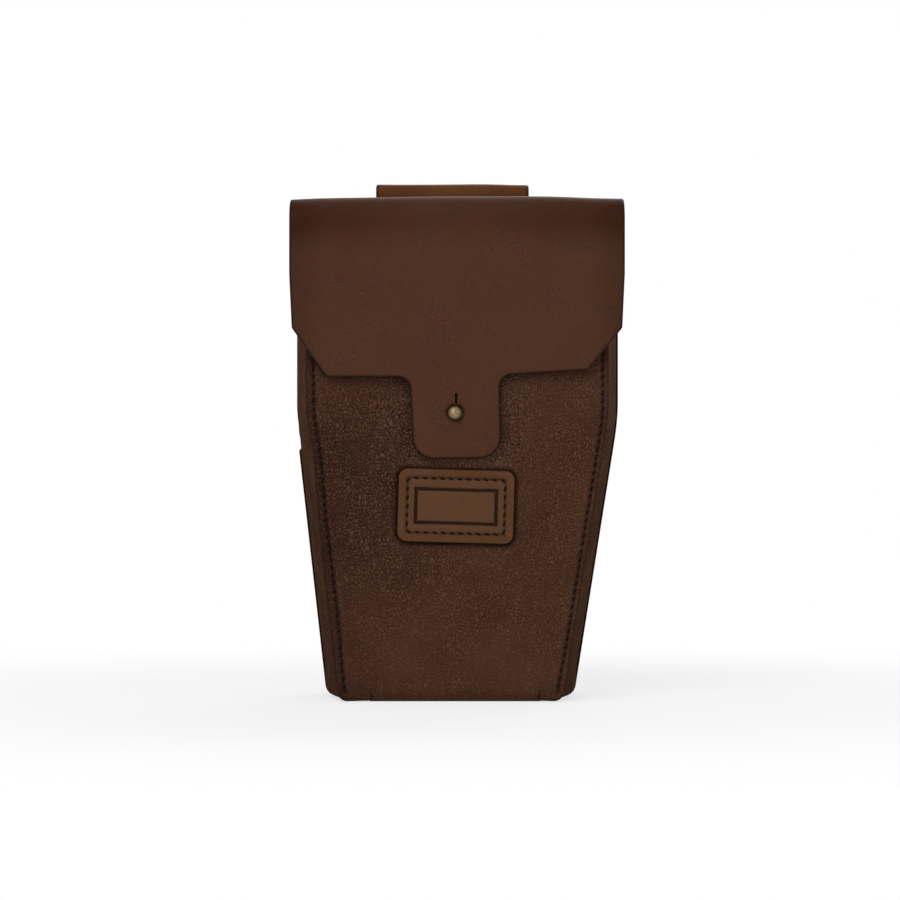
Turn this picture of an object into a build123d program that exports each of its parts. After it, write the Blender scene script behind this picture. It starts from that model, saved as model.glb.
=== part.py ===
"""Leather belt case for a hand-held light meter, with a buttoned flap.

X runs to the wearer's right as the front is seen, Y from the front to the back, Z up.
The origin is under the middle of the whole case, on the surface that it stands on.
All sizes are in millimetres.
"""

from build123d import *
from math import cos, pi, radians, sin
import os

# Driving sizes of the case
case_height = 192.0          # floor to the top of the closed flap
case_width = 127.3           # back panel and flap, above the shoulder
shoulder_height = 108.0      # where the sides turn from upright to tapered
shoulder_radius = 100.0      # of the soft bend there
foot_width = 98.0            # back panel at the floor
foot_offset = -2.5           # the foot hangs a little to the left of the mouth
gusset_depth = 50.0          # between the front and the back leather
mouth_drop = 8.0             # from the top of the flap to the top edge of the front panel
gusset_drop = 10.0           # and to the top edges of the gussets

# Leathers
bridle_thickness = 3.0       # back panel and flap
front_thickness = 2.2        # pebbled front panel
gusset_thickness = 1.8
badge_thickness = 1.8
loop_thickness = 2.4
edge_bevel = 0.7             # both corners of every cut edge are bevelled and burnished
flex_ratio = pi / 4          # a fold turns this share of its radius from its centre, both ways

# Front panel and its seams
splay = 8.7                  # the front seams lie this far inside the edges of the back panel
foot_splay = 8.9             # and this far at the floor
seam_margin = 2.7            # leather outside a front seam
front_corner = 5.0           # lower corners of the front panel
wrap_inset = 5.9             # from a front seam to the edge of the part that folds under the case
wrap_bend = 5.0              # outside radius of that fold
wrap_return = 14.0           # height to which it turns up inside the back
corner_lift = 1.0            # cut corners beside the wrap stay off the floor

# Gussets
gusset_inset = 0.8           # wall behind the edges of the panels
gusset_flange = 9.0          # turned in against the front and the back
gusset_corner = 4.0          # outside radius of the lower corners
gusset_tab = 12.0            # reach over the wrap, inside
ramp_length = 2.2            # where a gusset steps up onto the wrap
ramp_clearance = 1.0         # from the top of that ramp to the edge of the wrap
ramp_bend = 2.0
flange_foot = 9.0            # height where the flanges end

# Flap
rear_fold_radius = 6.0       # outside of the leather
front_fold_radius = 9.0
flap_gap = 1.2               # between the flap and the front panel
flap_taper = 0.95            # each side draws in this much down to its cut corner
corner_cut_width = 13.0
corner_cut_height = 18.1
upper_cut_bend = 2.0         # radii at the two ends of a cut corner
lower_cut_bend = 1.5
hem_rise = 2.6               # the right end of the hem is cut this much higher
hem_over_stud = 15.3
tab_width = 33.0
tab_under_stud = 16.8
tab_corner = 8.4
tab_throat = 4.5             # radius where the tab leaves the hem

# Stud and its keyhole
stud_offset = -0.9           # left of the middle
stud_height = 109.8
ball_diameter = 5.1
neck_diameter = 3.6
stud_flange_diameter = 7.6
stud_flange_thickness = 1.0
stud_flange_step = 0.6       # width of the sloping rim round the neck
ball_stand = 1.1             # middle of the ball in front of the tab
keyhole_diameter = 6.3
slit_width = 0.95
slit_length = 4.2            # above the hole
slit_end_diameter = 1.5
screw_diameter = 2.5
screw_length = 5.4           # under its head
screw_head_diameter = 7.0
screw_head_thickness = 1.0
screw_head_bevel = 0.4
screw_slot_width = 0.9
screw_slot_depth = 0.5
screw_clearance = 0.05       # all round the screw

# Badge
badge_width = 44.9
badge_height = 28.4
badge_corner = 4.0
badge_drop = 4.3             # from the end of the tab to the badge
badge_offset = -0.4
badge_turn = 1.2             # degrees, its right end down
badge_seam_inset = 3.8
badge_pitch = 3.3            # its stitches are a little longer apart
frame_width = 31.6           # pressed frame round the bare field
frame_height = 14.7
frame_line = 1.1
frame_depth = 0.35

# Belt loop
loop_width = 60.5
loop_offset = -1.7
loop_rise = 9.1              # above the top of the flap
loop_length = 83.1           # from its top fold to its lower end
loop_joint_height = 16.0     # lower part, where both leaves are sewn down
loop_slope = 13.0            # height over which the outer leaf leaves the inner one
belt_gap = 6.5               # room for the belt
loop_fold_radius = 3.8       # middle of the leather, at the two upper bends
loop_foot_bend = 6.0         # and where the outer leaf leaves the inner one
loop_belly_bend = 10.0       # and where it turns upright again
loop_clearance = 0.3         # lets the flap stand up between the loop and the mouth
leaf_gap = 0.1               # between the leaves where they are sewn down

# Stitching
stitch_pitch = 3.04
stitch_length = 2.3
stitch_width = 0.8
stitch_height = 0.5
stitch_slant = 20.0          # degrees off the seam
groove_width = 1.9
groove_depth = 0.25
back_seam_inset = 4.0        # from the edge of the back panel
seam_start_height = 5.4      # lowest stitch of the side seams
seam_end_inset = 3.0         # highest stitch below the top of the gusset
bottom_seam_height = 8.5
loop_seam_inset = 4.0
loop_row_drop = 23.1         # upper row, through the inner leaf alone, below the top of the loop
cut_allowance = 1.0          # cutters run past the leather by this much
same_place = 0.01            # edges nearer than this to a plane lie in it

# Heights and widths that follow
mouth_height = case_height - mouth_drop
gusset_height = case_height - gusset_drop
seam_width = case_width - 2 * splay
seam_foot_width = foot_width - 2 * foot_splay
wrap_width = seam_foot_width - 2 * wrap_inset
flap_low_width = case_width - 2 * flap_taper
hem_width = flap_low_width - 2 * corner_cut_width
hem_height = stud_height + hem_over_stud
cut_start_height = hem_height + corner_cut_height
tab_bottom_height = stud_height - tab_under_stud
badge_centre_height = tab_bottom_height - badge_drop - badge_height / 2
loop_top_height = case_height + loop_rise
loop_bottom_height = loop_top_height - loop_length
loop_row_height = loop_top_height - loop_row_drop

# Depths, counted from the face of the front panel
front_inside = front_thickness
back_inside = front_inside + gusset_depth
back_outside = back_inside + bridle_thickness
flap_inside = -flap_gap
flap_outside = flap_inside - bridle_thickness
ball_middle = flap_outside - ball_stand
loop_inside = back_outside + loop_clearance
loop_outside = loop_inside + 2 * loop_thickness + belt_gap

# The origin lies halfway between the ball and the belt loop
depth_shift = -(ball_middle - ball_diameter / 2 + loop_outside) / 2

rear_fold_centre = (back_outside - rear_fold_radius, case_height - rear_fold_radius)
front_fold_centre = (flap_outside + front_fold_radius, case_height - front_fold_radius)


def fold_pivot(centre, radius, side):
    """Where a fold of flap leather turns: beside its corner, so that it comes out straight."""
    reach = flex_ratio * (radius - bridle_thickness / 2)
    return (centre[0] + side * reach, centre[1] + reach)


def centre_at(height):
    """Middle of the case at a height: upright above the shoulder, leaning to the foot below it."""
    return foot_offset * max(0.0, 1 - height / shoulder_height)


def side_at(side, upper_width, lower_width, height):
    """X of one side of a tapered outline, side being 1 on the right and -1 on the left."""
    share = min(1.0, height / shoulder_height)
    return centre_at(height) + side * (lower_width + (upper_width - lower_width) * share) / 2


def side_path(side, upper_width, lower_width, top, bottom):
    """One side of a tapered outline, from its top down: an upright run and a tapered run."""
    heights = (top, shoulder_height, bottom)
    return [(side_at(side, upper_width, lower_width, height), height) for height in heights]


def sideways(points, distance):
    """The path moved to its left by a distance, with its corners mitred."""
    moved = []
    for i, point in enumerate(points):
        runs = []
        for a, b in ((i - 1, i), (i, i + 1)):
            if a >= 0 and b < len(points):
                run = Vector(*points[b]) - Vector(*points[a])
                runs.append(Vector(-run.Y, run.X).normalized())
        mitre = (runs[0] + runs[-1]).normalized()
        reach = distance / mitre.dot(runs[0])
        moved.append((point[0] + mitre.X * reach, point[1] + mitre.Y * reach))
    return moved


def band(points, radii, left, right):
    """Outline of a strip that follows a path, reaching left and right of it."""
    left_radii, right_radii = [], []
    for i, radius in enumerate(radii):
        run_in = Vector(*points[i + 1]) - Vector(*points[i])
        run_out = Vector(*points[i + 2]) - Vector(*points[i + 1])
        turn = 1 if run_in.cross(run_out).Z > 0 else -1
        left_radii.append(max(radius - turn * left, 0))
        right_radii.append(max(radius + turn * right, 0))
    outline = sideways(points, left) + sideways(points, -right)[::-1]
    return outline, [0, *left_radii, 0, 0, *right_radii[::-1], 0]


def front_face(outline, radii, depth):
    """A face seen from the front, at a depth."""
    points = [(x, depth + depth_shift, z) for x, z in outline]
    return make_face(FilletPolyline(*points, radius=radii, close=True))


def front_slab(outline, radii, near, far):
    """Leather or metal of one thickness, cut to an outline seen from the front."""
    return extrude(front_face(outline, radii, near), amount=far - near, dir=(0, 1, 0))


def side_slab(outline, radii, left, right):
    """A section seen from the side, carried across from left to right."""
    points = [(left, depth + depth_shift, z) for depth, z in outline]
    face = make_face(FilletPolyline(*points, radius=radii, close=True))
    return extrude(face, amount=right - left, dir=(1, 0, 0))


def box(left, right, near, far, low, high):
    """A plain block between two corners."""
    outline = [(left, low), (right, low), (right, high), (left, high)]
    return front_slab(outline, 0, near, far)


def bevelled(edges):
    """The leather that these cut edges belong to, with them bevelled."""
    return chamfer(edges, edge_bevel)


def rim(shape, *depths):
    """The edges of a slab that lie at these depths."""
    found = ShapeList()
    for depth in depths:
        y = depth + depth_shift
        found += shape.edges().filter_by_position(Axis.Y, y - same_place, y + same_place)
    return found


def groove(path, face, depth):
    """The channel that a row of stitches lies in, cut a little longer than the row."""
    first, second, last, before = (Vector(*path[i]) for i in (0, 1, -1, -2))
    start = first + (first - second).normalized() * stitch_length
    end = last + (last - before).normalized() * stitch_length
    path = [(start.X, start.Y), *path[1:-1], (end.X, end.Y)]
    outline, radii = band(path, [0] * (len(path) - 2), groove_width / 2, groove_width / 2)
    return front_slab(outline, radii, min(face, face + depth), max(face, face + depth))


def stitch(place, along, face, outward):
    """One stitch: a slug with slanted ends on a face, itself slanted across its seam."""
    slanted = along.rotate(Axis.Z, stitch_slant)
    across = Vector(-slanted.Y, slanted.X)
    corners = [(0.5, 0.5), (-0.3, 0.5), (-0.5, -0.5), (0.3, -0.5)]
    outline = []
    for a, b in corners:
        point = place + slanted * (a * stitch_length) + across * (b * stitch_width)
        outline.append((point.X, point.Y))
    top = face + outward * stitch_height
    return front_slab(outline, 0, min(face, top), max(face, top))


def stitch_row(path, face, outward, pitch=stitch_pitch):
    """Stitches at an even pitch along a path, centred on it."""
    line = Polyline(*path)
    count = int(line.length / pitch)
    slack = (line.length - count * pitch) / 2
    row = []
    for i in range(count + 1):
        share = (slack + i * pitch) / line.length
        row.append(stitch(line @ share, line % share, face, outward))
    return row


def rectangle_path(width, height, centre=(0, 0)):
    """A closed rectangular path."""
    x, z = centre
    corners = [(-1, -1), (1, -1), (1, 1), (-1, 1), (-1, -1)]
    return [(x + a * width / 2, z + b * height / 2) for a, b in corners]


def fold(centre, radius, start_angle):
    """A quarter turn of flap leather about a centre seen from the side, from an angle upwards."""
    angles = [radians(start_angle + 45 * i) for i in range(3)]
    radii = (radius, radius - bridle_thickness)
    outer, inner = [
        [(centre[0] + r * cos(a) + depth_shift, centre[1] + r * sin(a)) for a in angles] for r in radii
    ]
    left = -case_width / 2
    at = [[(left, y, z) for y, z in arc] for arc in (outer, inner)]
    edges = [
        ThreePointArc(*at[0]), Line(at[0][2], at[1][2]),
        ThreePointArc(*at[1]), Line(at[1][0], at[0][0]),
    ]
    leather = extrude(make_face(edges), amount=case_width, dir=(1, 0, 0))
    return bevelled(leather.edges().filter_by(GeomType.CIRCLE))


def back_seam_path(side):
    """A back seam, a set distance inside the edge of the back panel."""
    top = gusset_height - seam_end_inset
    edge = side_path(side, case_width, foot_width, top, seam_start_height)
    return sideways(edge, -side * back_seam_inset)


def front_seam_path(side):
    """A front seam, from the mouth to just above the lower corner."""
    top = gusset_height - seam_end_inset
    return side_path(side, seam_width, seam_foot_width, top, seam_start_height)


def loop_box_path():
    """The box of stitches that holds both leaves of the belt loop to the back panel."""
    height = loop_joint_height - loop_seam_inset
    centre = (loop_offset, loop_bottom_height + loop_seam_inset / 2 + height / 2)
    return rectangle_path(loop_width - 2 * loop_seam_inset, height, centre)


def loop_row_path():
    """The upper row, which holds the inner leaf alone."""
    half = loop_width / 2 - loop_seam_inset
    return [(loop_offset - half, loop_row_height), (loop_offset + half, loop_row_height)]


def bottom_seam_path():
    """The seam that holds the end of the wrap to the back panel."""
    half = wrap_width / 2 - loop_seam_inset
    middle = centre_at(bottom_seam_height)
    return [(middle - half, bottom_seam_height), (middle + half, bottom_seam_height)]


def back_panel():
    """The flat back, whose leather goes on over the mouth as the flap."""
    top = case_height - rear_fold_radius
    left = side_path(-1, case_width, foot_width, top, 0)
    right = side_path(1, case_width, foot_width, top, 0)
    radii = [0, shoulder_radius, gusset_corner, gusset_corner, shoulder_radius, 0]
    panel = front_slab(left + right[::-1], radii, back_inside, back_outside)
    outer = [edge for edge in rim(panel, back_outside) if edge.center().Z < top - same_place]
    panel = bevelled(outer)
    for path in (back_seam_path(-1), back_seam_path(1), bottom_seam_path()):
        panel -= groove(path, back_outside, -groove_depth)
    return panel


def front_panel():
    """The pebbled front, with the tongue that wraps under the case and turns up inside the back."""
    width = seam_width + 2 * seam_margin
    low_width = seam_foot_width + 2 * seam_margin
    middle = centre_at(0)
    left = side_path(-1, width, low_width, mouth_height, corner_lift)
    right = side_path(1, width, low_width, mouth_height, corner_lift)
    notch = [
        (middle - wrap_width / 2, corner_lift), (middle - wrap_width / 2, wrap_bend),
        (middle + wrap_width / 2, wrap_bend), (middle + wrap_width / 2, corner_lift),
    ]
    radii = [0, shoulder_radius, front_corner, 0, 0, 0, 0, front_corner, shoulder_radius, 0]
    panel = front_slab(left + notch + right[::-1], radii, 0, front_thickness)
    tongue = [(0, 2 * wrap_bend), (0, 0), (back_inside, 0), (back_inside, wrap_return)]
    outline, tongue_radii = band(tongue, [wrap_bend, wrap_bend], front_thickness, 0)
    panel += side_slab(outline, tongue_radii, middle - wrap_width / 2, middle + wrap_width / 2)
    for side in (-1, 1):
        panel -= groove(front_seam_path(side), 0, groove_depth)
    hole = Plane.XZ.offset(-depth_shift) * Pos(stud_offset, stud_height) * Circle(
        screw_diameter / 2 + screw_clearance)
    return panel - extrude(hole, amount=-front_thickness)


def gusset(side):
    """A side strip: a wall that splays to the back, turned-in flanges and a tab under the case."""
    front_width = seam_width + 2 * (seam_margin - gusset_inset)
    front_low = seam_foot_width + 2 * (seam_margin - gusset_inset)
    back_width = case_width - 2 * gusset_inset
    back_low = foot_width - 2 * gusset_inset
    middle = centre_at(0)
    tab_height = front_thickness + leaf_gap
    ramp_head = middle + side * (wrap_width / 2 + leaf_gap + ramp_clearance)
    ramp_foot = ramp_head + side * ramp_length
    tab_end = middle + side * (wrap_width / 2 - gusset_tab)
    ends, flanges = [], []
    places = (
        (front_width, front_low, front_inside, front_inside + gusset_thickness),
        (back_width, back_low, back_inside, back_inside - gusset_thickness),
    )
    for upper, lower, depth, flange_depth in places:
        down = side_path(side, upper, lower, gusset_height, corner_lift)
        path = down + [(ramp_foot, corner_lift), (ramp_head, tab_height), (tab_end, tab_height)]
        radii = [shoulder_radius, gusset_corner, ramp_bend, ramp_bend]
        inward = (0, gusset_thickness) if side > 0 else (gusset_thickness, 0)
        ends.append(front_face(*band(path, radii, *inward), depth))
        edge = side_path(side, upper, lower, gusset_height, flange_foot)
        reach = (0, gusset_flange) if side > 0 else (gusset_flange, 0)
        near, far = sorted((depth, flange_depth))
        flanges.append(front_slab(*band(edge, [shoulder_radius], *reach), near, far))
    strip = loft(ends, ruled=True)
    for flange in flanges:
        strip += flange
    half = wrap_width / 2 + leaf_gap
    low, high = tab_height - cut_allowance, wrap_return + cut_allowance
    strip -= box(middle - half, middle + half, front_inside, wrap_bend + leaf_gap, low, high)
    back_leaf = back_inside - front_thickness
    strip -= box(middle - half, middle + half, back_leaf - wrap_bend, back_inside, low, high)
    return strip


def flap_top():
    """The flat part of the flap over the mouth."""
    near, far = front_fold_centre[0], rear_fold_centre[0]
    low = case_height - bridle_thickness
    leather = box(-case_width / 2, case_width / 2, near, far, low, case_height)
    return bevelled(leather.edges().filter_by(Axis.Y))


def keyhole():
    """The round hole and the slit above it, cut through the tab."""
    slit_top = keyhole_diameter / 2 + slit_length
    shape = Circle(keyhole_diameter / 2)
    shape += Pos(0, slit_top / 2) * Rectangle(slit_width, slit_top)
    shape += Pos(0, slit_top) * Circle(slit_end_diameter / 2)
    place = Plane.XZ.offset(-(flap_inside + depth_shift)) * Pos(stud_offset, stud_height)
    return extrude(place * shape, amount=bridle_thickness)


def flap_front():
    """The hanging part of the flap, with its cut corners, its tab and the keyhole."""
    top = front_fold_centre[1]
    half_tab = tab_width / 2

    def hem_at(x):
        return hem_height + hem_rise * x / hem_width

    left = [(-case_width / 2, top), (-flap_low_width / 2, cut_start_height)]
    right = [(flap_low_width / 2, cut_start_height), (case_width / 2, top)]
    hem = [(x, hem_at(x)) for x in (-hem_width / 2, -half_tab, half_tab, hem_width / 2)]
    tab = [(-half_tab, tab_bottom_height), (half_tab, tab_bottom_height)]
    outline = left + hem[:2] + tab + hem[2:] + right
    down = [0, upper_cut_bend, lower_cut_bend, tab_throat, tab_corner]
    radii = down + down[::-1]
    leather = front_slab(outline, radii, flap_outside, flap_inside)
    cut = [edge for edge in rim(leather, flap_outside, flap_inside) if edge.center().Z < top - same_place]
    return bevelled(cut) - keyhole()


def turned(profile):
    """A round piece on the stud's axis, from radii and depths along that axis."""
    points = [(radius, depth + depth_shift) for radius, depth in profile]
    face = make_face(Polyline(*points, close=True))
    return Pos(stud_offset, 0, stud_height) * revolve(face, Axis.Y)


def stud():
    """A ball on a neck, with a flange that stands on the front panel and a threaded hole behind."""
    flange = stud_flange_diameter / 2
    neck = neck_diameter / 2
    hole = screw_diameter / 2 + screw_clearance
    hole_end = front_thickness - screw_length - leaf_gap
    post = turned([
        (hole, 0), (flange, 0), (flange, -stud_flange_thickness / 2),
        (neck + stud_flange_step, -stud_flange_thickness), (neck, -stud_flange_thickness),
        (neck, ball_middle), (0, ball_middle), (0, hole_end), (hole, hole_end),
    ])
    ball = Pos(stud_offset, ball_middle + depth_shift, stud_height) * Sphere(ball_diameter / 2)
    drill = turned([(0, 0), (hole, 0), (hole, hole_end), (0, hole_end)])
    return post + ball - drill


def stud_screw():
    """The slotted screw that holds the stud from inside the case."""
    shank = screw_diameter / 2
    head = screw_head_diameter / 2
    back = front_inside + screw_head_thickness
    screw = turned([
        (0, front_inside - screw_length), (shank, front_inside - screw_length),
        (shank, front_inside), (head, front_inside), (head, back - screw_head_bevel),
        (head - screw_head_bevel, back), (0, back),
    ])
    slot = box(
        stud_offset - head, stud_offset + head, back - screw_slot_depth, back,
        stud_height - screw_slot_width / 2, stud_height + screw_slot_width / 2,
    )
    return screw - slot


def on_badge(shape):
    """A shape drawn about the badge's middle, put in its place and turned."""
    return Pos(badge_offset, 0, badge_centre_height) * Rot(0, badge_turn, 0) * shape


def badge():
    """The sewn-on leather badge, with a pressed frame round its bare field."""
    outline = rectangle_path(badge_width, badge_height)[:4]
    leather = front_slab(outline, badge_corner, -badge_thickness, 0)
    leather = bevelled(rim(leather, -badge_thickness))
    pressed = front_slab(
        rectangle_path(frame_width, frame_height)[:4], 0, -badge_thickness, -badge_thickness + frame_depth)
    pressed -= front_slab(
        rectangle_path(frame_width - 2 * frame_line, frame_height - 2 * frame_line)[:4], 0,
        -badge_thickness, -badge_thickness + frame_depth)
    return on_badge(leather - pressed)


def badge_stitching():
    """The thread round the badge."""
    width, height = (size - 2 * badge_seam_inset for size in (badge_width, badge_height))
    row = stitch_row(rectangle_path(width, height), -badge_thickness, -1, badge_pitch)[:-1]
    return Compound(children=[on_badge(piece) for piece in row])


def belt_loop():
    """A strap folded over at the top and sewn down at its lower end, with room for a belt."""
    half = loop_thickness / 2
    inner = loop_inside + half
    sewn = inner + loop_thickness + leaf_gap
    outer = loop_outside - half
    joint = loop_bottom_height + loop_joint_height
    path = [
        (sewn, loop_bottom_height), (sewn, joint), (outer, joint + loop_slope),
        (outer, loop_top_height - half), (inner, loop_top_height - half), (inner, loop_bottom_height),
    ]
    radii = [loop_foot_bend, loop_belly_bend, loop_fold_radius, loop_fold_radius]
    left = loop_offset - loop_width / 2
    return side_slab(*band(path, radii, half, half), left, left + loop_width)


def thread(path, face, outward):
    """All the stitches of one seam."""
    return Compound(children=stitch_row(path, face, outward))


parts = {
    "back_panel": back_panel(),
    "front_panel": front_panel(),
    "left_gusset": gusset(-1),
    "right_gusset": gusset(1),
    "flap_rear_fold": fold(rear_fold_centre, rear_fold_radius, 0),
    "flap_top": flap_top(),
    "flap_front_fold": fold(front_fold_centre, front_fold_radius, 90),
    "flap_front": flap_front(),
    "stud": stud(),
    "stud_screw": stud_screw(),
    "badge": badge(),
    "badge_stitching": badge_stitching(),
    "belt_loop": belt_loop(),
    "belt_loop_box_stitching": thread(
        loop_box_path(), loop_inside + 2 * loop_thickness + leaf_gap, 1),
    "belt_loop_row_stitching": thread(loop_row_path(), loop_inside + loop_thickness, 1),
    "left_front_stitching": thread(front_seam_path(-1), groove_depth, -1),
    "right_front_stitching": thread(front_seam_path(1), groove_depth, -1),
    "left_back_stitching": thread(back_seam_path(-1), back_outside - groove_depth, 1),
    "right_back_stitching": thread(back_seam_path(1), back_outside - groove_depth, 1),
    "bottom_stitching": thread(bottom_seam_path(), back_outside - groove_depth, 1),
}

os.makedirs("parts", exist_ok=True)
for name, shape in parts.items():
    export_step(shape, f"parts/{name}.step")
for label, centre, radius, side in (
    ("rear", rear_fold_centre, rear_fold_radius, 1), ("front", front_fold_centre, front_fold_radius, -1)
):
    depth, height = fold_pivot(centre, radius, side)
    print(f"{label} fold turns at y {depth + depth_shift:.3f}, z {height:.3f}")
print(f"front panel face at y {depth_shift:.3f}")
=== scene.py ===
import math
from functools import partial

import bpy
import numpy as np
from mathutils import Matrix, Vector
from mathutils.geometry import delaunay_2d_cdt


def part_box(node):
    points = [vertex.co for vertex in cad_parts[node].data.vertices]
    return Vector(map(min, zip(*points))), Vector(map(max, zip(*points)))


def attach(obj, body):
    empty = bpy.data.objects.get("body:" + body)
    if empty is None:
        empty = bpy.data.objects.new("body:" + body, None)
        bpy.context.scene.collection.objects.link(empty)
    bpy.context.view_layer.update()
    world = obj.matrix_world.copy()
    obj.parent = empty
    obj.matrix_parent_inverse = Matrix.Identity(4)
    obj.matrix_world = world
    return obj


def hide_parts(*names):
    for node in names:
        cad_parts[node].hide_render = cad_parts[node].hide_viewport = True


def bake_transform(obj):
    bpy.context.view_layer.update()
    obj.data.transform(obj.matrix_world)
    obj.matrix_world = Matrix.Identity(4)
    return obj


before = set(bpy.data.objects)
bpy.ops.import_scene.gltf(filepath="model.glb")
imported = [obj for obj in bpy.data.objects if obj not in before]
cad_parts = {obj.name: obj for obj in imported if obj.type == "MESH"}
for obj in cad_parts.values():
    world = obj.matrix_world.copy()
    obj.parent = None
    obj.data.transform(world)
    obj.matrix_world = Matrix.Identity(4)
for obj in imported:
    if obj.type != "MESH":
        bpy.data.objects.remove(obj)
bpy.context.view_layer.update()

mm = 0.001  # shapes are worked out in mm, and the meshes hold metres
print("frame loaded")


# Lowest and highest corner of a CAD node, in mm
def nodeBox(node):
    low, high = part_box(node)
    return np.array(low) / mm, np.array(high) / mm


backLow, backHigh = nodeBox("back_panel")
frontLow, frontHigh = nodeBox("front_panel")
roofLow, roofHigh = nodeBox("flap_top")
apronLow, apronHigh = nodeBox("flap_front")
loopLow, loopHigh = nodeBox("belt_loop")
badgeLow, badgeHigh = nodeBox("badge")
studLow, studHigh = nodeBox("stud")
gussetTop = nodeBox("left_gusset")[1][2]

# Sizes that more than one piece follows
case = {
    "halfWidth": backHigh[0],
    "halfFoot": 49.0,
    "footShift": -2.5,       # the foot hangs a little to the left
    "shoulder": 108.0,       # height where the sides start to taper
    "shoulderRadius": 100.0,
    "frontFace": frontLow[1],
    "seamHalfWidth": 54.95,
    "seamHalfFoot": 40.1,
    "seamMargin": 2.7,
    "backSeamInset": 4.0,
    "seamTop": 179.0,
    "seamEnd": 5.4,
    "bottomSeam": 8.5,       # its height on the back
    "bottomSeamHalf": 30.2,
    "wrapEdge": {-1: -33.2, 1: 31.7},  # left and right edge of the front's tongue
}
# Half widths above the shoulder and at the foot, for the back, its seams and the front's seams and edges
backEdge = np.array([case["halfWidth"], case["halfFoot"]])
backSeamHalf = backEdge - case["backSeamInset"]
frontSeamHalf = np.array([case["seamHalfWidth"], case["seamHalfFoot"]])
frontEdge = frontSeamHalf + case["seamMargin"]


# Across at a height of a side that is upright above the shoulder and leans in to the foot below it
def sideAt(side, halves, z):
    share = np.minimum(1, z / case["shoulder"])
    return case["footShift"] * (1 - share) + side * (halves[1] + (halves[0] - halves[1]) * share)


# A line through corner points, with an arc at each corner that touches both its runs,
# and with points no further apart than step on the runs and fineStep on the arcs
def roundedLine(points, radii, step, fineStep=0.5, closed=False):
    points = np.asarray(points, float)
    count = len(points)
    radii = [radii] * count if np.isscalar(radii) else list(radii)
    if not closed:
        radii = [0, *radii[:count - 2], 0]
    bends = []
    for i in range(count):
        corner = points[i]
        if not closed and i in (0, count - 1) or radii[i] == 0:
            bends.append(corner[None])
            continue
        before, after = points[i - 1] - corner, points[(i + 1) % count] - corner
        before, after = before / np.linalg.norm(before), after / np.linalg.norm(after)
        half = np.arccos(np.clip(before @ after, -1, 1)) / 2
        middle = corner + (before + after) / np.linalg.norm(before + after) * radii[i] / np.sin(half)
        starts = corner + before * radii[i] / np.tan(half) - middle
        ends = corner + after * radii[i] / np.tan(half) - middle
        first = np.arctan2(starts[1], starts[0])
        turn = (np.arctan2(ends[1], ends[0]) - first + np.pi) % (2 * np.pi) - np.pi
        angles = first + turn * np.linspace(0, 1, max(3, int(abs(turn) * radii[i] / fineStep) + 2))
        bends.append(middle + radii[i] * np.c_[np.cos(angles), np.sin(angles)])
    line = [bends[0]]
    for a, b in zip(bends, bends[1:] + (bends[:1] if closed else [])):
        run = b[0] - a[-1]
        share = np.linspace(0, 1, max(1, math.ceil(np.linalg.norm(run) / step)) + 1)[1:-1, None]
        line += [a[-1] + run * share, b]
    line = np.vstack(line[:-1] if closed else line)
    apart = np.linalg.norm(np.diff(line, axis=0, append=line[:1]), axis=1) > 1e-6
    return line[apart] if closed else np.vstack([line[:-1][apart[:-1]], line[-1:]])


# Distance along a line at each of its points
def lengthsOf(line):
    return np.concatenate([[0], np.cumsum(np.linalg.norm(np.diff(line, axis=0), axis=1))])


# Place and direction at distances along a line, straight between its points
def alongLine(line, distance):
    lengths = lengthsOf(line)
    slopes = np.gradient(line, lengths, axis=0)
    place = [np.interp(distance, lengths, line[:, i]) for i in (0, 1)]
    slope = [np.interp(distance, lengths, slopes[:, i]) for i in (0, 1)]
    size = np.hypot(*slope)
    return place, [part / size for part in slope]


# Compares points with others a few thousand at a time, to spare memory
def inBlocks(points, compare):
    return np.concatenate([compare(block) for block in np.array_split(points, len(points) // 4000 + 1)])


# Which points lie in a closed loop: those whose level line crosses it an odd number of times on one side
def insideLoop(points, loop):
    x0, y0 = loop.T
    x1, y1 = np.roll(loop, -1, axis=0).T

    def inside(block):
        x, y = block.T[:, :, None]
        beyond = x < x0 + (x1 - x0) * (y - y0) / np.where(y1 == y0, 1, y1 - y0)
        return (((y0 > y) != (y1 > y)) & beyond).sum(1) % 2 == 1

    return inBlocks(points, inside)


# Distance from each point to the nearest of the targets
def distanceTo(points, targets):
    return inBlocks(points, lambda block: np.sqrt(((block[:, None] - targets) ** 2).sum(2).min(1)))


# A smooth random height, mostly between -1 and 1: plane waves of about one length in random directions
def unevenness(u, v, size, seed, count=24):
    rng = np.random.default_rng(seed)
    angle, phase = rng.uniform(0, 2 * np.pi, (2, count))
    length = size * rng.uniform(0.7, 1.5, count)
    along = np.multiply.outer(u, np.cos(angle)) + np.multiply.outer(v, np.sin(angle))
    return 0.4 * np.sin(along * 2 * np.pi / length + phase).sum(-1) / math.sqrt(count / 2)


# Rises smoothly from 0 at low to 1 at high, as three squares less two cubes of the share of the way
def easeIn(low, high, value):
    share = np.clip((value - low) / (high - low), 0, 1)
    return share * share * (3 - 2 * share)


# A bell of height 1 about a middle: e to the power of minus the square of the distance in widths
def hump(value, middle, width):
    return np.exp(-((value - middle) / width) ** 2)


# A point turned about the origin: (x cos - y sin, x sin + y cos)
def turned(x, y, angle):
    return x * math.cos(angle) - y * math.sin(angle), x * math.sin(angle) + y * math.cos(angle)


# Whether place() turns the pattern over, which it does if 1 mm along u, 1 mm along v and 1 mm above the grain
# side make a left-handed corner there
def isMirrored(place, u, v):
    corner, alongU, alongV, above = place(
        u + np.array([0, 1, 0, 0]), v + np.array([0, 0, 1, 0]), np.array([0.0, 0, 0, 1]))
    return np.cross(alongU - corner, alongV - corner) @ (above - corner) < 0


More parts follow.
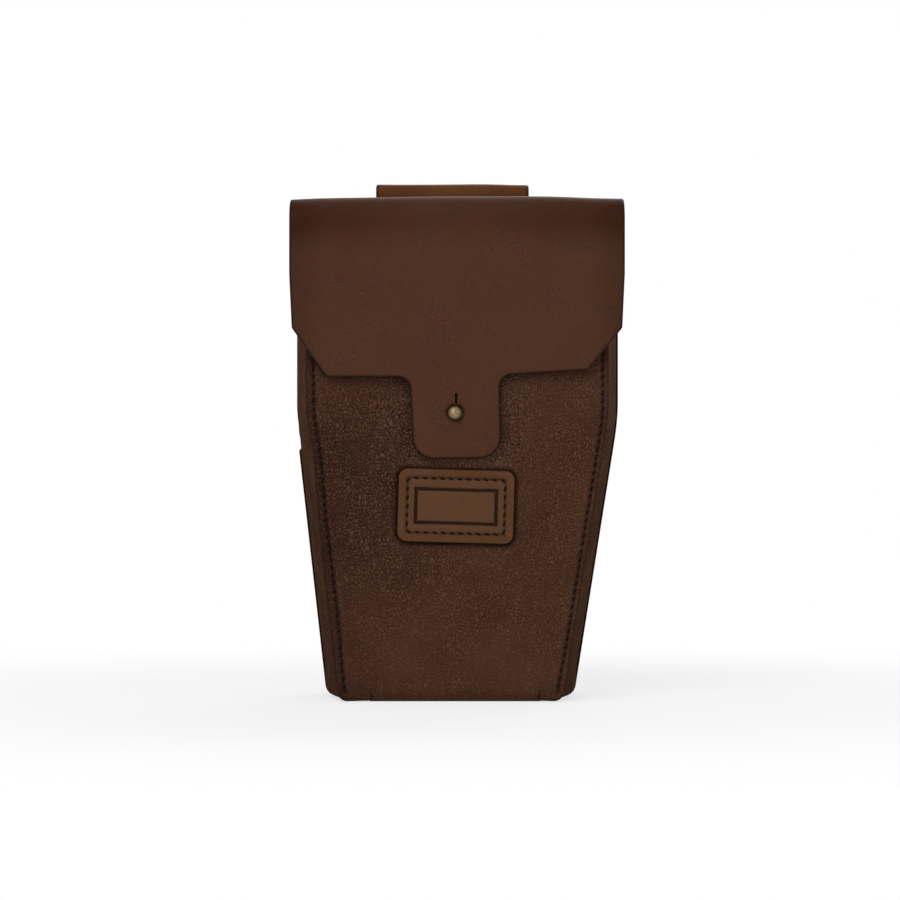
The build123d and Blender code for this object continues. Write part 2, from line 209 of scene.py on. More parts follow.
# Puts points in mm and faces into a new mesh object, with its flat pattern as UV map and values at the points
def meshObject(name, points, faces, materials, materialOf, flat, **attributes):
    mesh = bpy.data.meshes.new(name)
    mesh.from_pydata((points * mm).tolist(), [], faces)
    for material in materials:
        mesh.materials.append(material)
    mesh.polygons.foreach_set("material_index", np.asarray(materialOf, np.int32))
    mesh.polygons.foreach_set("use_smooth", np.ones(len(faces), bool))
    corners = np.empty(len(mesh.loops), np.int32)
    mesh.loops.foreach_get("vertex_index", corners)
    layer = mesh.uv_layers.new(name="flat")
    layer.uv.foreach_set("vector", (flat[corners] * mm).astype(np.float32).ravel())
    for key, values in attributes.items():
        mesh.attributes.new(key, "FLOAT", "POINT").data.foreach_set("value", values.astype(np.float32))
    mesh.update(calc_edges=True)
    piece = bpy.data.objects.new(name, mesh)
    bpy.context.scene.collection.objects.link(piece)
    return piece


# The burnt band along a cut edge is the edge's dark dye, and painted shade along the edge as well
sharpCrown = 0.3  # an edge rounded over less than this many mm is cut sharp, and isn't burnt dark


# The outline and the holes of a sheet, each a closed loop with its leather on the left. With each come the
# way into the leather at its points, how wide the edge is rounded there, and whether it gets the burnt band,
# which is the edge's dark dye with painted shade along it.
def cutLoops(sheet, outline, holes, joinAt):
    loops = []
    for loop, width in [(outline, sheet["crown"]), *((hole, sheet["holeCrown"]) for hole in holes)]:
        x, y = loop.T
        area = (x * np.roll(y, -1) - np.roll(x, -1) * y).sum()
        if (area > 0) == bool(loops):  # the outline comes first, and runs the other way round than the holes
            loop = loop[::-1]
        slope = np.roll(loop, -1, axis=0) - np.roll(loop, 1, axis=0)
        inward = np.c_[-slope[:, 1], slope[:, 0]] / np.linalg.norm(slope, axis=1)[:, None]
        crown = width(loop) if callable(width) else np.full(len(loop), width)
        burntAndShaded = crown >= sharpCrown
        joined = np.abs(loop[:, 1] - joinAt) < 1e-6
        if joined.any():
            inward[joined] = np.c_[-loop[joined, 0] / abs(loop[joined, 0]).max(), np.zeros(joined.sum())]
        loops.append((loop, inward, crown, burntAndShaded & ~joined))
    return loops


# Fills a pattern, inside its skin, with the extra rows and a grid of points, where these have at least 0.4
# and 0.65 of a step to the points before them, and joins them all into triangles. The grid's rows are 0.866
# steps apart and every second one is shifted, as in a net of even triangles.
def fillPattern(rim, skin, links, ends, rows, step):
    bounds = np.split(skin, ends)

    def within(points):
        good = insideLoop(points, bounds[0])
        for bound in bounds[1:]:
            good &= ~insideLoop(points, bound)
        return good

    low, high = rim.min(0), rim.max(0)
    u, v = np.meshgrid(np.arange(low[0], high[0], step), np.arange(low[1], high[1], step * 0.866))
    u[1::2] += step / 2
    grid = np.c_[u.ravel(), v.ravel()]
    extra = np.unique(np.vstack([np.empty((0, 2)), *rows]).round(3), axis=0)
    extra = extra[within(extra)]
    extra = extra[distanceTo(extra, skin) > 0.4 * step]
    grid = grid[within(grid)]
    grid = grid[distanceTo(grid, np.vstack([skin, extra])) > 0.65 * step]
    inner = np.vstack([extra, grid])
    flat = np.vstack([skin, inner])
    triangles = np.array(delaunay_2d_cdt(flat.tolist(), links.tolist(), [], 1, 1e-7)[2])
    return inner, triangles[within(flat[triangles].mean(1))]


# A piece of leather, cut to an outline in the flat and bent into place.
# The outline and the holes hold points (u, v) of the pattern, in mm. They are filled with triangles on the
# grain side and again on the flesh side. The cut edge between the two is half an ellipse, one thickness high
# and crown wide, carried round each loop. place(u, v, h) gives the place of a point h over the grain side.
# relief(u, v) is added to h there and fades to the flesh side. tone(u, v) says where the leather is darker,
# up to 1, or paler, down to -1, and grain(u, v) how lively its pebbles are. The materials are those of the
# grain side, the cut edge and the flesh side.
# A sheet that goes on in another piece has joinAt, the v of the straight line where they meet.
def leatherSheet(name, sheet, outline, place, materials, holes=(), rows=(), relief=None,
                 joinAt=np.inf, **shades):
    loops = cutLoops(sheet, outline, holes, joinAt)
    rim, inward, crowns, burntAndShaded = (np.concatenate(part) for part in zip(*loops))
    ends = np.cumsum([len(loop[0]) for loop in loops])[:-1]
    indices = np.split(np.arange(len(rim)), ends)
    links = np.concatenate([np.c_[index, np.roll(index, -1)] for index in indices])
    turns = np.linspace(math.pi / 2, -math.pi / 2, sheet["edgeRows"])
    insets = 1 - np.cos(turns)
    heights = sheet["thickness"] * (np.sin(turns) - 1) / 2
    rings = rim + (insets[:, None] * crowns)[:, :, None] * inward
    inner, triangles = fillPattern(rim, rings[0], links, ends, rows, sheet["gridStep"])

    count, steps = len(rim), len(heights)
    u, v = np.ascontiguousarray(np.vstack([rings.reshape(-1, 2), inner, inner]).T)
    h = np.concatenate([np.repeat(heights, count), np.zeros(len(inner)), np.full(len(inner), heights[-1])])
    if relief:
        h = h + relief(u, v) * (1 + h / sheet["thickness"])
    toEdge = distanceTo(inner, rim[burntAndShaded])
    farAway = 9  # mm, where no edge looks burnt
    onEdge = np.tile(np.where(crowns < sharpCrown, farAway, crowns), steps) * np.repeat(insets, count)

    # The last ring and the second copy of the inner points belong to the flesh side
    grain = np.where(triangles < count, triangles, triangles + (steps - 1) * count)
    flesh = np.where(triangles < count, triangles, triangles + len(inner)) + (steps - 1) * count
    row = np.arange(steps - 1)[:, None] * count
    a, b = links.T
    edge = np.stack([row + b, row + a, row + count + a, row + count + b], axis=-1)
    middle = grain[len(grain) // 2]
    if isMirrored(place, u[middle].mean(), v[middle].mean()):
        grain, flesh, edge = grain[:, ::-1], flesh[:, ::-1], edge[:, :, ::-1]
    faces = grain.tolist() + flesh[:, ::-1].tolist() + edge.reshape(-1, 4).tolist()
    edgeMaterial = np.repeat(np.arange(steps - 1) >= sheet["grainRings"], count)
    materialOf = np.concatenate([np.zeros(len(grain)), np.full(len(flesh), 2), edgeMaterial])
    piece = meshObject(name, place(u, v, h), faces, materials, materialOf, np.c_[u, v],
                       rim=np.concatenate([onEdge, toEdge, toEdge]),
                       **{key: shade(u, v) for key, shade in shades.items()})
    if joinAt < np.inf:
        keepJoinSharp(piece.data, v, joinAt)
    return piece


# Keeps the shading of a sheet unbroken up to the line where it goes on in another piece
def keepJoinSharp(mesh, v, joinAt):
    ends = np.empty(len(mesh.edges) * 2, np.int32)
    mesh.edges.foreach_get("vertices", ends)
    onJoin = (np.abs(v[ends.reshape(-1, 2)] - joinAt) < 1e-6).all(1)
    mesh.attributes.new("sharp_edge", "BOOLEAN", "EDGE").data.foreach_set("value", onJoin)


# Place of points h over a strip whose pattern's v runs along a line (y, z): each is moved square to the line
def alongStrip(line, u, v, h):
    (y, z), (dy, dz) = alongLine(line, v)
    return np.c_[u, y + dz * h, z - dy * h]


# A row of stitches along a path (u, v) of a sheet. One stitch is a tube along t from -1 to 1, with a few
# points round each ring. Its middle line falls by dip times t to the fourth power, and its radius shrinks
# with the square root of 1 less 0.6 t to the fourth power.
def threadRow(name, stitch, path, place, closed=False):
    rng = np.random.default_rng(stitch["seed"])
    length, rings, sides = lengthsOf(path)[-1], stitch["rings"], stitch["sides"]
    count = int(length / stitch["pitch"])
    if closed:
        at = (np.arange(count) + 0.5) * length / count
    else:
        at = (length - count * stitch["pitch"]) / 2 + np.arange(count + 1) * stitch["pitch"]
    (u, v), (du, dv) = alongLine(path, at)
    mirrored = isMirrored(place, u[0], v[0])
    angle = np.arctan2(dv, du) + np.radians(stitch["slant"] + rng.normal(0, stitch["unevenAngle"], len(at)))
    size = rng.normal(1, stitch["uneven"], len(at))
    lie = rng.normal(0, stitch["uneven"], len(at))

    # From here on the arrays go by stitch, ring and point of the ring
    at, u, v, angle, size, lie = (part[:, None, None] for part in (at, u, v, angle, size, lie))
    t = np.linspace(-1, 1, rings)[:, None]
    around = np.linspace(0, 2 * np.pi, sides, endpoint=False)
    radius = stitch["width"] / 2 * np.sqrt(1 - 0.6 * t ** 4)
    along, across = stitch["length"] * size * t / 2, radius * np.cos(around)
    high = stitch["rise"] + lie - stitch["dip"] * t ** 4 + radius * np.sin(around) * stitch["flatness"]
    u = u + along * np.cos(angle) - across * np.sin(angle)
    v = v + along * np.sin(angle) + across * np.cos(angle)
    flat = np.broadcast_arrays(t / 2 * stitch["length"] + 3 * at, around * stitch["width"] / 2)

    first = np.arange(len(at))[:, None, None] * rings * sides
    base = first + np.arange(rings - 1)[:, None] * sides
    side = np.arange(sides)
    following = np.roll(side, -1)
    walls = np.stack([base + side, base + following, base + sides + following, base + sides + side], axis=-1)
    caps = np.vstack([first[:, 0] + side[::-1], first[:, 0] + (rings - 1) * sides + side])
    turn = -1 if mirrored else 1
    faces = walls.reshape(-1, 4)[:, ::turn].tolist() + caps[:, ::turn].tolist()
    return meshObject(name, place(u.ravel(), v.ravel(), high.ravel()), faces, [thread], np.zeros(len(faces)),
                      np.stack(flat, axis=-1).reshape(-1, 2))


# Linear colour of an sRGB hex value
def colour(hexValue):
    parts = [int(hexValue[i:i + 2], 16) / 255 for i in (1, 3, 5)]
    return (*[part / 12.92 if part <= 0.04045 else ((part + 0.055) / 1.055) ** 2.4 for part in parts], 1)


# Adds a node with its settings. A socket, by name or number, gets a value, or a link from a node or output.
def addNode(tree, kind, sockets=None, **settings):
    node = tree.nodes.new("ShaderNode" + kind)
    for key, value in settings.items():
        setattr(node, key, value)
    for key, value in (sockets or {}).items():
        named = [socket for socket in node.inputs if socket.name == key and socket.enabled]
        socket = named[0] if named else node.inputs[key]
        if isinstance(value, bpy.types.Node):
            value = next(output for output in value.outputs if output.enabled)
        if isinstance(value, bpy.types.NodeSocket):
            tree.links.new(value, socket)
        else:
            socket.default_value = value
    return node


# Settings that many nodes share
inPlane = {"noise_dimensions": "2D"}
cellEdges = {"voronoi_dimensions": "2D", "feature": "DISTANCE_TO_EDGE"}
smoothly = {"interpolation_type": "SMOOTHSTEP"}
times = {"operation": "MULTIPLY"}
timesPlus = {"operation": "MULTIPLY_ADD"}


# Starts an empty material, and gives with it the function that adds a node to it
def startMaterial(name):
    material = bpy.data.materials.new(name)
    material.use_nodes = True
    material.node_tree.nodes.clear()
    return material, partial(addNode, material.node_tree)


# Ends a material with its colour, its relief, bump mm high, and its gloss
def endMaterial(add, tone, height, bump, gloss):
    relief = add("Bump", {"Height": height, "Strength": 1.0, "Distance": bump * mm})
    shader = add("BsdfPrincipled", {"Base Color": tone, "Normal": relief, **gloss})
    add("OutputMaterial", {"Surface": shader})


# Gloss of a leather from its look
def leatherGloss(look):
    return {"Roughness": look["roughness"], "Specular IOR Level": look["specular"]}


# Lays colours over a ground, each where its mask is 1
def layColours(add, ground, layers):
    for mask, over in layers:
        ground = add("Mix", {"Factor": mask, "A": ground, "B": colour(over)}, data_type="RGBA")
    return ground


# Scale of a pattern whose marks are this many mm apart
def per(size):
    return 1 / (size * mm)


# Masks that follow the sheet's own shape, from its tone and rim: deep where the tone makes it darker, which
# is painted shade in grooves, creases and under other parts and also darker places of its own colour; pale
# where the tone makes it paler, which is painted highlight on ridges and painted light where shade falls, and
# also paler places of its own colour; and burnt along its cut edges, which is the edge's dark dye with
# painted shade along it
def sheetMasks(add, look):
    tone = add("Attribute", attribute_name="tone").outputs["Fac"]
    rim = add("Attribute", attribute_name="rim").outputs["Fac"]
    deep = add("MapRange", {"Value": tone, "From Min": 0.0, "From Max": 1.0})
    # Below 0 the tone paints highlights and light where shade falls, and also lays paler places of the
    # leather's own colour
    paleAndHighlight = add("MapRange", {"Value": tone, "From Min": 0.0, "From Max": -1.0})
    burntAndShaded = add("MapRange", {"Value": rim, "From Min": 0.3, "From Max": look["rimWidth"],
                             "To Min": 0.75, "To Max": 0.0}, **smoothly)
    return [(deep, look["deep"]), (paleAndHighlight, look["paleAndHighlight"]), (burntAndShaded, look["burntAndShaded"])]


# Smooth full-grain bridle leather, drum-dyed and waxed. The eye gets a satin skin with hardly any pattern:
# fine pores, short wrinkles in loose groups where the hide was creased, with painted shade in their lines
# and a painted highlight on their lips, and a few pale scratches.
def waxedLeather(name, look):
    material, add = startMaterial(name)
    flat = add("UVMap", uv_map="flat")
    cloud = add("TexNoise", {"Vector": flat, "Scale": per(look["cloud"]), "Detail": 3.0}, **inPlane)
    clouds = add("MapRange", {"Value": cloud, "From Min": 0.35, "From Max": 0.65,
                              "To Max": look["clouding"]}, **smoothly)
    # Real pores are half as far apart, too fine to show
    pores = add("TexNoise", {"Vector": flat, "Scale": per(1.2), "Detail": 4.0, "Roughness": 0.65}, **inPlane)
    speckle = add("MapRange", {"Value": pores, "From Min": 0.4, "From Max": 0.65, "To Max": 0.45})
    # Wrinkles are broken pieces of a net of cells about 1.6 by 0.8 mm, painted dark as shade in their lines,
    # with a painted highlight on a lip at both sides
    drift = add("TexNoise", {"Vector": flat, "Scale": per(3.5), "Detail": 2.0}, **inPlane).outputs["Color"]
    moved = add("VectorMath", {0: drift, 1: (2.2 * mm, 2.2 * mm, 0), 2: flat}, **timesPlus)
    drawn = add("Mapping", {"Vector": moved, "Rotation": (0, 0, math.radians(look["wrinkleTurn"])),
                            "Scale": (0.5, 1, 1)})
    net = add("TexVoronoi", {"Vector": drawn, "Scale": per(0.8)}, **cellEdges)
    lines = add("MapRange", {"Value": net, "From Max": 0.2, "To Min": 1.0, "To Max": 0.0})
    lips = add("MapRange", {"Value": net, "From Max": 0.5, "To Min": look["lip"], "To Max": 0.0})
    group = add("TexNoise", {"Vector": flat, "Scale": per(15), "Detail": 3.0, "Roughness": 0.65}, **inPlane)
    grouped = add("MapRange", {"Value": group, "From Min": 0.44, "From Max": 0.64}, **smoothly)
    broken = add("TexNoise", {"Vector": drawn, "Scale": per(0.8), "Detail": 1.0}, **inPlane)
    pieces = add("MapRange", {"Value": broken, "From Min": 0.5, "From Max": 0.6})
    marked = add("Math", {0: pieces, 1: grouped}, **times)
    wrinkles = add("Math", {0: lines, 1: marked}, **times)
    highlitLips = add("Math", {0: lips, 1: marked}, **times)
    shadedCreases = add("Math", {0: wrinkles, 1: look["wrinkling"]}, **times)
    slant = add("Mapping", {"Vector": flat, "Rotation": (0, 0, 0.9), "Scale": (0.25, 1, 1)})
    scratch = add("TexNoise", {"Vector": slant, "Scale": per(0.9), "Detail": 2.0}, **inPlane)
    scratches = add("MapRange", {"Value": scratch, "From Min": 0.74, "From Max": 0.84, "To Max": 0.2})
    # The lips take the scratch colour as painted highlight, and the wrinkles' lines take the crease colour as
    # painted shade
    tone = layColours(add, colour(look["ground"]), [
        (clouds, look["light"]), (speckle, look["speck"]), (highlitLips, look["scratch"]),
        (shadedCreases, look["crease"]), (scratches, look["scratch"]), *sheetMasks(add, look)])
    height = add("Math", {0: pores, 1: 0.3, 2: cloud}, **timesPlus)
    height = add("Math", {0: wrinkles, 1: -1.6, 2: height}, **timesPlus)
    endMaterial(add, tone, height, look["bump"], leatherGloss(look))
    return material


# Pebbled leather, tumbled in a drum until its grain stands up in soft pebbles, with painted shade in the
# valleys between and a painted highlight on their tops. The pebbles are about a millimetre, drawn longer
# where the hide was stretched, and each gets its own strength of painted highlight. Streaks run down where
# the leather has been bent, painted dark as shade in their creases.
def pebbledLeather(name, look):
    material, add = startMaterial(name)
    flat = add("UVMap", uv_map="flat")
    stretch = add("TexNoise", {"Vector": flat, "Scale": per(16), "Detail": 1.0}, **inPlane).outputs["Color"]
    moved = add("VectorMath", {0: stretch, 1: (7 * mm, 7 * mm, 0), 2: flat}, **timesPlus)
    drift = add("TexNoise", {"Vector": flat, "Scale": per(1.9), "Detail": 2.0}, **inPlane).outputs["Color"]
    moved = add("VectorMath", {0: drift, 1: (1.7 * mm, 1.7 * mm, 0), 2: moved}, **timesPlus)
    drawn = add("Mapping", {"Vector": moved, "Rotation": (0, 0, 0.2), "Scale": (1, 0.78, 1)})
    wide = add("TexVoronoi", {"Vector": drawn, "Scale": per(look["pebble"])}, **cellEdges)
    fine = add("TexVoronoi", {"Vector": drawn, "Scale": per(look["pebble"] * 0.55)}, **cellEdges)
    domes = add("MapRange", {"Value": wide, "From Max": 0.38}, **smoothly)
    beads = add("MapRange", {"Value": fine, "From Max": 0.36}, **smoothly)
    grain = add("Mix", {"Factor": 0.4, "A": domes, "B": beads})
    # The grain attribute scales the pebbles' bump, and with it their painted shade and highlights
    lively = add("Attribute", attribute_name="grain").outputs["Fac"]
    cloud = add("TexNoise", {"Vector": flat, "Scale": per(look["cloud"]), "Detail": 4.0}, **inPlane)
    clouds = add("MapRange", {"Value": cloud, "From Min": 0.35, "From Max": 0.65,
                              "To Max": look["clouding"]}, **smoothly)
    # Painted shade in the valleys between the pebbles
    valley = add("MapRange", {"Value": grain, "From Max": 0.55, "To Min": 1.0, "To Max": 0.0}, **smoothly)
    valley = add("Math", {0: valley, 1: lively}, **times)
    shadedValleys = add("Math", {0: valley, 1: look["valley"]}, **times)
    # Painted highlight on the pebbles' tops, of its own strength on each pebble
    top = add("MapRange", {"Value": grain, "From Min": 0.3, "From Max": 1.0, "To Max": look["top"]})
    cell = add("TexVoronoi", {"Vector": drawn, "Scale": per(look["pebble"])}, voronoi_dimensions="2D")
    shade = add("SeparateColor", {"Color": cell.outputs["Color"]}).outputs["Red"]
    own = add("MapRange", {"Value": shade, "From Min": 0.2, "From Max": 0.9, "To Min": 0.4})
    highlitTops = add("Math", {0: top, 1: own}, **times)
    highlitTops = add("Math", {0: highlitTops, 1: lively}, **times)
    # Streaks, painted dark in the crease colour as shade, and low in the bump
    bent = add("Mapping", {"Vector": moved, "Scale": (1, 0.14, 1)})
    streak = add("TexNoise", {"Vector": bent, "Scale": per(3.6), "Detail": 2.0}, **inPlane)
    streaks = add("MapRange", {"Value": streak, "From Min": 0.52, "From Max": 0.7,
                               "To Max": look["streaking"]})
    deep, paleAndHighlight, burntAndShaded = sheetMasks(add, look)
    tone = layColours(add, colour(look["ground"]), [
        (clouds, look["light"]), paleAndHighlight, (streaks, look["crease"]), (shadedValleys, look["crease"]),
        (highlitTops, look["pale"]), deep, burntAndShaded])
    height = add("Math", {0: grain, 1: lively}, **times)
    height = add("Math", {0: streaks, 1: -1.0, 2: height}, **timesPlus)
    endMaterial(add, tone, height, look["bump"], leatherGloss(look))
    return material


# Cut leather edge, dyed, and on the bridle leather bevelled and rubbed with beeswax to a dark polish. The eye
# gets a dark line with faint fibre marks along it.
def burnishedEdge(name, look):
    material, add = startMaterial(name)
    flat = add("UVMap", uv_map="flat")
    fibre = add("TexNoise", {"Vector": flat, "Scale": per(1.5), "Detail": 4.0}, **inPlane)
    marks = add("MapRange", {"Value": fibre, "From Min": 0.35, "From Max": 0.65})
    rim = add("Attribute", attribute_name="rim").outputs["Fac"]
    middle = add("MapRange", {"Value": rim, "From Max": 0.35, "To Min": 0.5, "To Max": 0.0})
    tone = layColours(add, colour(look["dark"]), [(marks, look["light"]), (middle, look["fibre"])])
    endMaterial(add, tone, fibre, 0.06, leatherGloss(look))
    return material


# Flesh side of the hide, split and left raw, so a dull nap of short fibres that brush lighter and darker
def fleshSide(name, look):
    material, add = startMaterial(name)
    flat = add("UVMap", uv_map="flat")
    nap = add("TexNoise", {"Vector": flat, "Scale": per(0.7), "Detail": 4.0, "Roughness": 0.7}, **inPlane)
    fibres = add("MapRange", {"Value": nap, "From Min": 0.3, "From Max": 0.7})
    brush = add("TexNoise", {"Vector": flat, "Scale": per(14), "Detail": 2.0, "Distortion": 0.8}, **inPlane)
    brushed = add("MapRange", {"Value": brush, "From Min": 0.4, "From Max": 0.65, "To Max": 0.4})
    tone = layColours(add, colour(look["dark"]), [(fibres, look["light"]), (brushed, look["light"])])
    endMaterial(add, tone, nap, 0.15, {"Roughness": 0.95, "Specular IOR Level": 0.03})
    return material


# Braided nylon thread, drawn through wax, in nearly black slugs with a fine slanting braid
def waxedThread(name, look):
    material, add = startMaterial(name)
    flat = add("TexCoord").outputs[look["follows"]]
    # A wave repeats 1.6 times in one unit of scale, so that the bands are 1.8 mm apart
    braid = add("TexWave", {"Vector": flat, "Scale": per(2.826), "Distortion": 1.0},
                bands_direction="DIAGONAL").outputs["Fac"]
    tone = layColours(add, colour(look["dark"]), [(braid, look["light"])])
    endMaterial(add, tone, braid, 0.06, {"Roughness": 0.65, "Specular IOR Level": 0.06})
    return material


# Antique brass, turned, darkened in an acid bath and rubbed back, so the eye gets a dull old gold that is
# brown where the stain stayed, with faint turning marks
def antiqueBrass(name, look):
    material, add = startMaterial(name)
    place = add("TexCoord").outputs["Object"]
    stain = add("TexNoise", {"Vector": place, "Scale": per(1.1), "Detail": 4.0})
    stained = add("MapRange", {"Value": stain, "From Min": 0.42, "From Max": 0.66})
    dull = add("MapRange", {"Value": stain, "From Min": 0.3, "From Max": 0.7, "To Min": 0.5, "To Max": 0.65})
    tone = layColours(add, colour(look["light"]), [(stained, look["dark"])])
    marks = add("TexNoise", {"Vector": place, "Scale": per(0.35), "Detail": 2.0})
    endMaterial(add, tone, marks, 0.03, {"Metallic": 1.0, "Roughness": dull})
    return material


bridleLook = {
    "ground": "#4A2D1F", "light": "#4E3123", "speck": "#43281B", "crease": "#2A160D", "scratch": "#654A3A",
    "deep": "#34190B", "paleAndHighlight": "#644637", "burntAndShaded": "#1E110B", "rimWidth": 1.2, "roughness": 0.58,
    "specular": 0.06, "cloud": 26, "clouding": 0.6, "wrinkling": 0.85, "lip": 0.62, "wrinkleTurn": 5,
    "bump": 0.1,
}
bridle = waxedLeather("waxed bridle leather", bridleLook)
# The badge's burnt band is its dark dyed edge, with painted shade where the badge meets the front
badgeLeather = waxedLeather("badge leather", {
    **bridleLook, "ground": "#573820", "light": "#5B3C28", "speck": "#4F321D", "deep": "#1C0E06",
    "paleAndHighlight": "#593D2C", "burntAndShaded": "#140A05", "cloud": 9, "clouding": 0.8, "wrinkling": 0.4, "lip": 0.3,
    "bump": 0.04, "rimWidth": 0.8})
loopLeather = waxedLeather("tan bridle leather", {
    **bridleLook, "ground": "#542E14", "light": "#5F3515", "speck": "#4C2A13", "deep": "#3A2210",
    "paleAndHighlight": "#6E4A28", "cloud": 12, "clouding": 0.6, "rimWidth": 1.6})
pebbled = pebbledLeather("pebbled leather", {
    "ground": "#4E3022", "light": "#573829", "crease": "#27160D", "pale": "#6E5646", "deep": "#22120B",
    "paleAndHighlight": "#644637", "burntAndShaded": "#1E110B", "rimWidth": 1.2, "roughness": 0.55, "specular": 0.04,
    "cloud": 14, "clouding": 0.4, "pebble": 1.15, "valley": 0.95, "top": 0.5, "streaking": 0.1, "bump": 0.42,
})
gussetLeather = pebbledLeather("pebbled gusset leather", {
    "ground": "#503628", "light": "#5D4334", "crease": "#28180F", "pale": "#705A4A", "deep": "#22120B",
    "paleAndHighlight": "#654A3A", "burntAndShaded": "#1E110B", "rimWidth": 1.0, "roughness": 0.7, "specular": 0.0,
    "cloud": 18, "clouding": 0.45, "pebble": 1.2, "valley": 0.7, "top": 0.36, "streaking": 0.2, "bump": 0.42,
})
burnished = burnishedEdge("burnished leather edge", {
    "dark": "#160D08", "light": "#22140D", "fibre": "#33211A", "roughness": 0.6, "specular": 0.0})
dyed = burnishedEdge("dyed leather edge", {
    "dark": "#342117", "light": "#422C20", "fibre": "#3A261C", "roughness": 0.8, "specular": 0.0})
flesh = fleshSide("raw flesh side", {"dark": "#463021", "light": "#5F4532"})
threadLook = {"dark": "#0B0705", "light": "#1C120C", "follows": "UV"}
thread = waxedThread("waxed braided thread", threadLook)
solidThread = waxedThread("waxed thread in one row", {**threadLook, "follows": "Object"})
brass = antiqueBrass("antique brass", {"light": "#998668", "dark": "#75634A"})
print("materials made")

# The bridle leather runs from the foot up the back, over the mouth and down the front in one strip.
# Its pattern's v is the length along the grain side, from the foot.
strip = {
    "rearRadius": backHigh[1] - roofHigh[1],
    "frontRadius": roofLow[1] - apronLow[1],
    "rearReach": 3.0,        # how far past a fold's arc the leather would bend if the flap were opened
    "frontReach": 7.5,
    "crownRise": 0.5,        # the roof bows up in its middle
    "crownMiddle": 8.0,
    "crownFall": 0.00026,    # mm of fall for each mm squared from the middle
    "crownEnd": 130.0,       # height on the front where the fall has died away
    "waviness": 0.22,
    "waveSize": 42,
    "waveStart": (190, 250),  # v where the waves begin, and where they are full
    "drawnIn": 0.6,          # how far the left edge goes in at each of two places above the shoulder
    "thickness": backHigh[1] - backLow[1],
    "crown": 0.8,
    "grainRings": 2,         # how far the grain side goes round the edge before the polish starts
    "holeCrown": 0.15,
    "footCorner": 3.2,
    "gridStep": 1.3,
    "flapStep": 1.15,
    "edgeRows": 7,
    "outlineStep": 1.0,
}
stripLine = roundedLine(
    [(backHigh[1], 0), (backHigh[1], roofHigh[2]), (apronLow[1], roofHigh[2]), (apronLow[1], 40)],
    [strip["rearRadius"], strip["frontRadius"]], 2.0, 0.15)
roofStart = backHigh[2] + strip["rearRadius"] * math.pi / 2
joinLine = roofStart + (roofHigh[1] - roofLow[1]) / 2
roofEnd = roofStart + roofHigh[1] - roofLow[1]
apronStart = roofEnd + strip["frontRadius"] * math.pi / 2


# v on the strip at a height on the flap's front
def apronAt(z):
    return apronStart + apronHigh[2] - z


# The strip lies along its line. Slow waves lift its front, and its roof falls as the square of the way from
# its crown.
def placeStrip(u, v, h):
    h = h + strip["waviness"] * unevenness(u, v, strip["waveSize"], 5) * easeIn(*strip["waveStart"], v)
    points = alongStrip(stripLine, u, v, h)
    fall = strip["crownRise"] - strip["crownFall"] * (u - strip["crownMiddle"]) ** 2
    end = apronAt(strip["crownEnd"])
    points[:, 2] += fall * easeIn(backHigh[2], roofStart, v) * (1 - easeIn(apronStart, end, v))
    return points


# The groove that each seam lies in, and where beside it rows of points follow its shape
groove = {"width": 1.1, "depth": 0.38, "ridge": 0.1, "pitch": 3.04}
grooveOffsets = (-1.8, -1.1, -0.55, 0, 0.55, 1.1, 1.8)


# A bell-shaped groove along a seam, with a low ridge at each side, and a little deeper at each stitch
def grooveRelief(groove, distance, along):
    width, narrow = groove["width"], groove["width"] * 0.6
    dents = 1 + 0.25 * np.cos(2 * np.pi * along / groove["pitch"])
    ridges = hump(distance, width, narrow) + hump(distance, -width, narrow)
    return groove["ridge"] * ridges - groove["depth"] * dents * hump(distance, 0, narrow)


# A seam has painted shade in its groove and a painted highlight on the ridges beside it
def seamTone(distance, paleAndHighlight=0.3):
    return 0.6 * hump(distance, 0, 0.8) - paleAndHighlight * (hump(distance, 1.9, 0.7) + hump(distance, -1.9, 0.7))


# Rows of points beside a path, so that the grid can follow a groove there
def seamRows(path, offsets, step=1.2):
    (u, v), (du, dv) = alongLine(path, np.arange(0, lengthsOf(path)[-1], step))
    return [np.c_[u - dv * offset, v + du * offset] for offset in offsets]


# Path of a seam down one side, in (across, height): straight to the shoulder, and in an arc on to the foot
def sideSeam(side, halves):
    points = [(sideAt(side, halves, z), z) for z in (case["seamTop"], case["shoulder"], case["seamEnd"])]
    return roundedLine(points, [case["shoulderRadius"]], 2)


# Darker in a band beside each fold of the strip
def foldTone(v):
    return 0.75 * hump(v, apronStart - 2, 9) + 0.4 * hump(v, backHigh[2] - 2, 9)


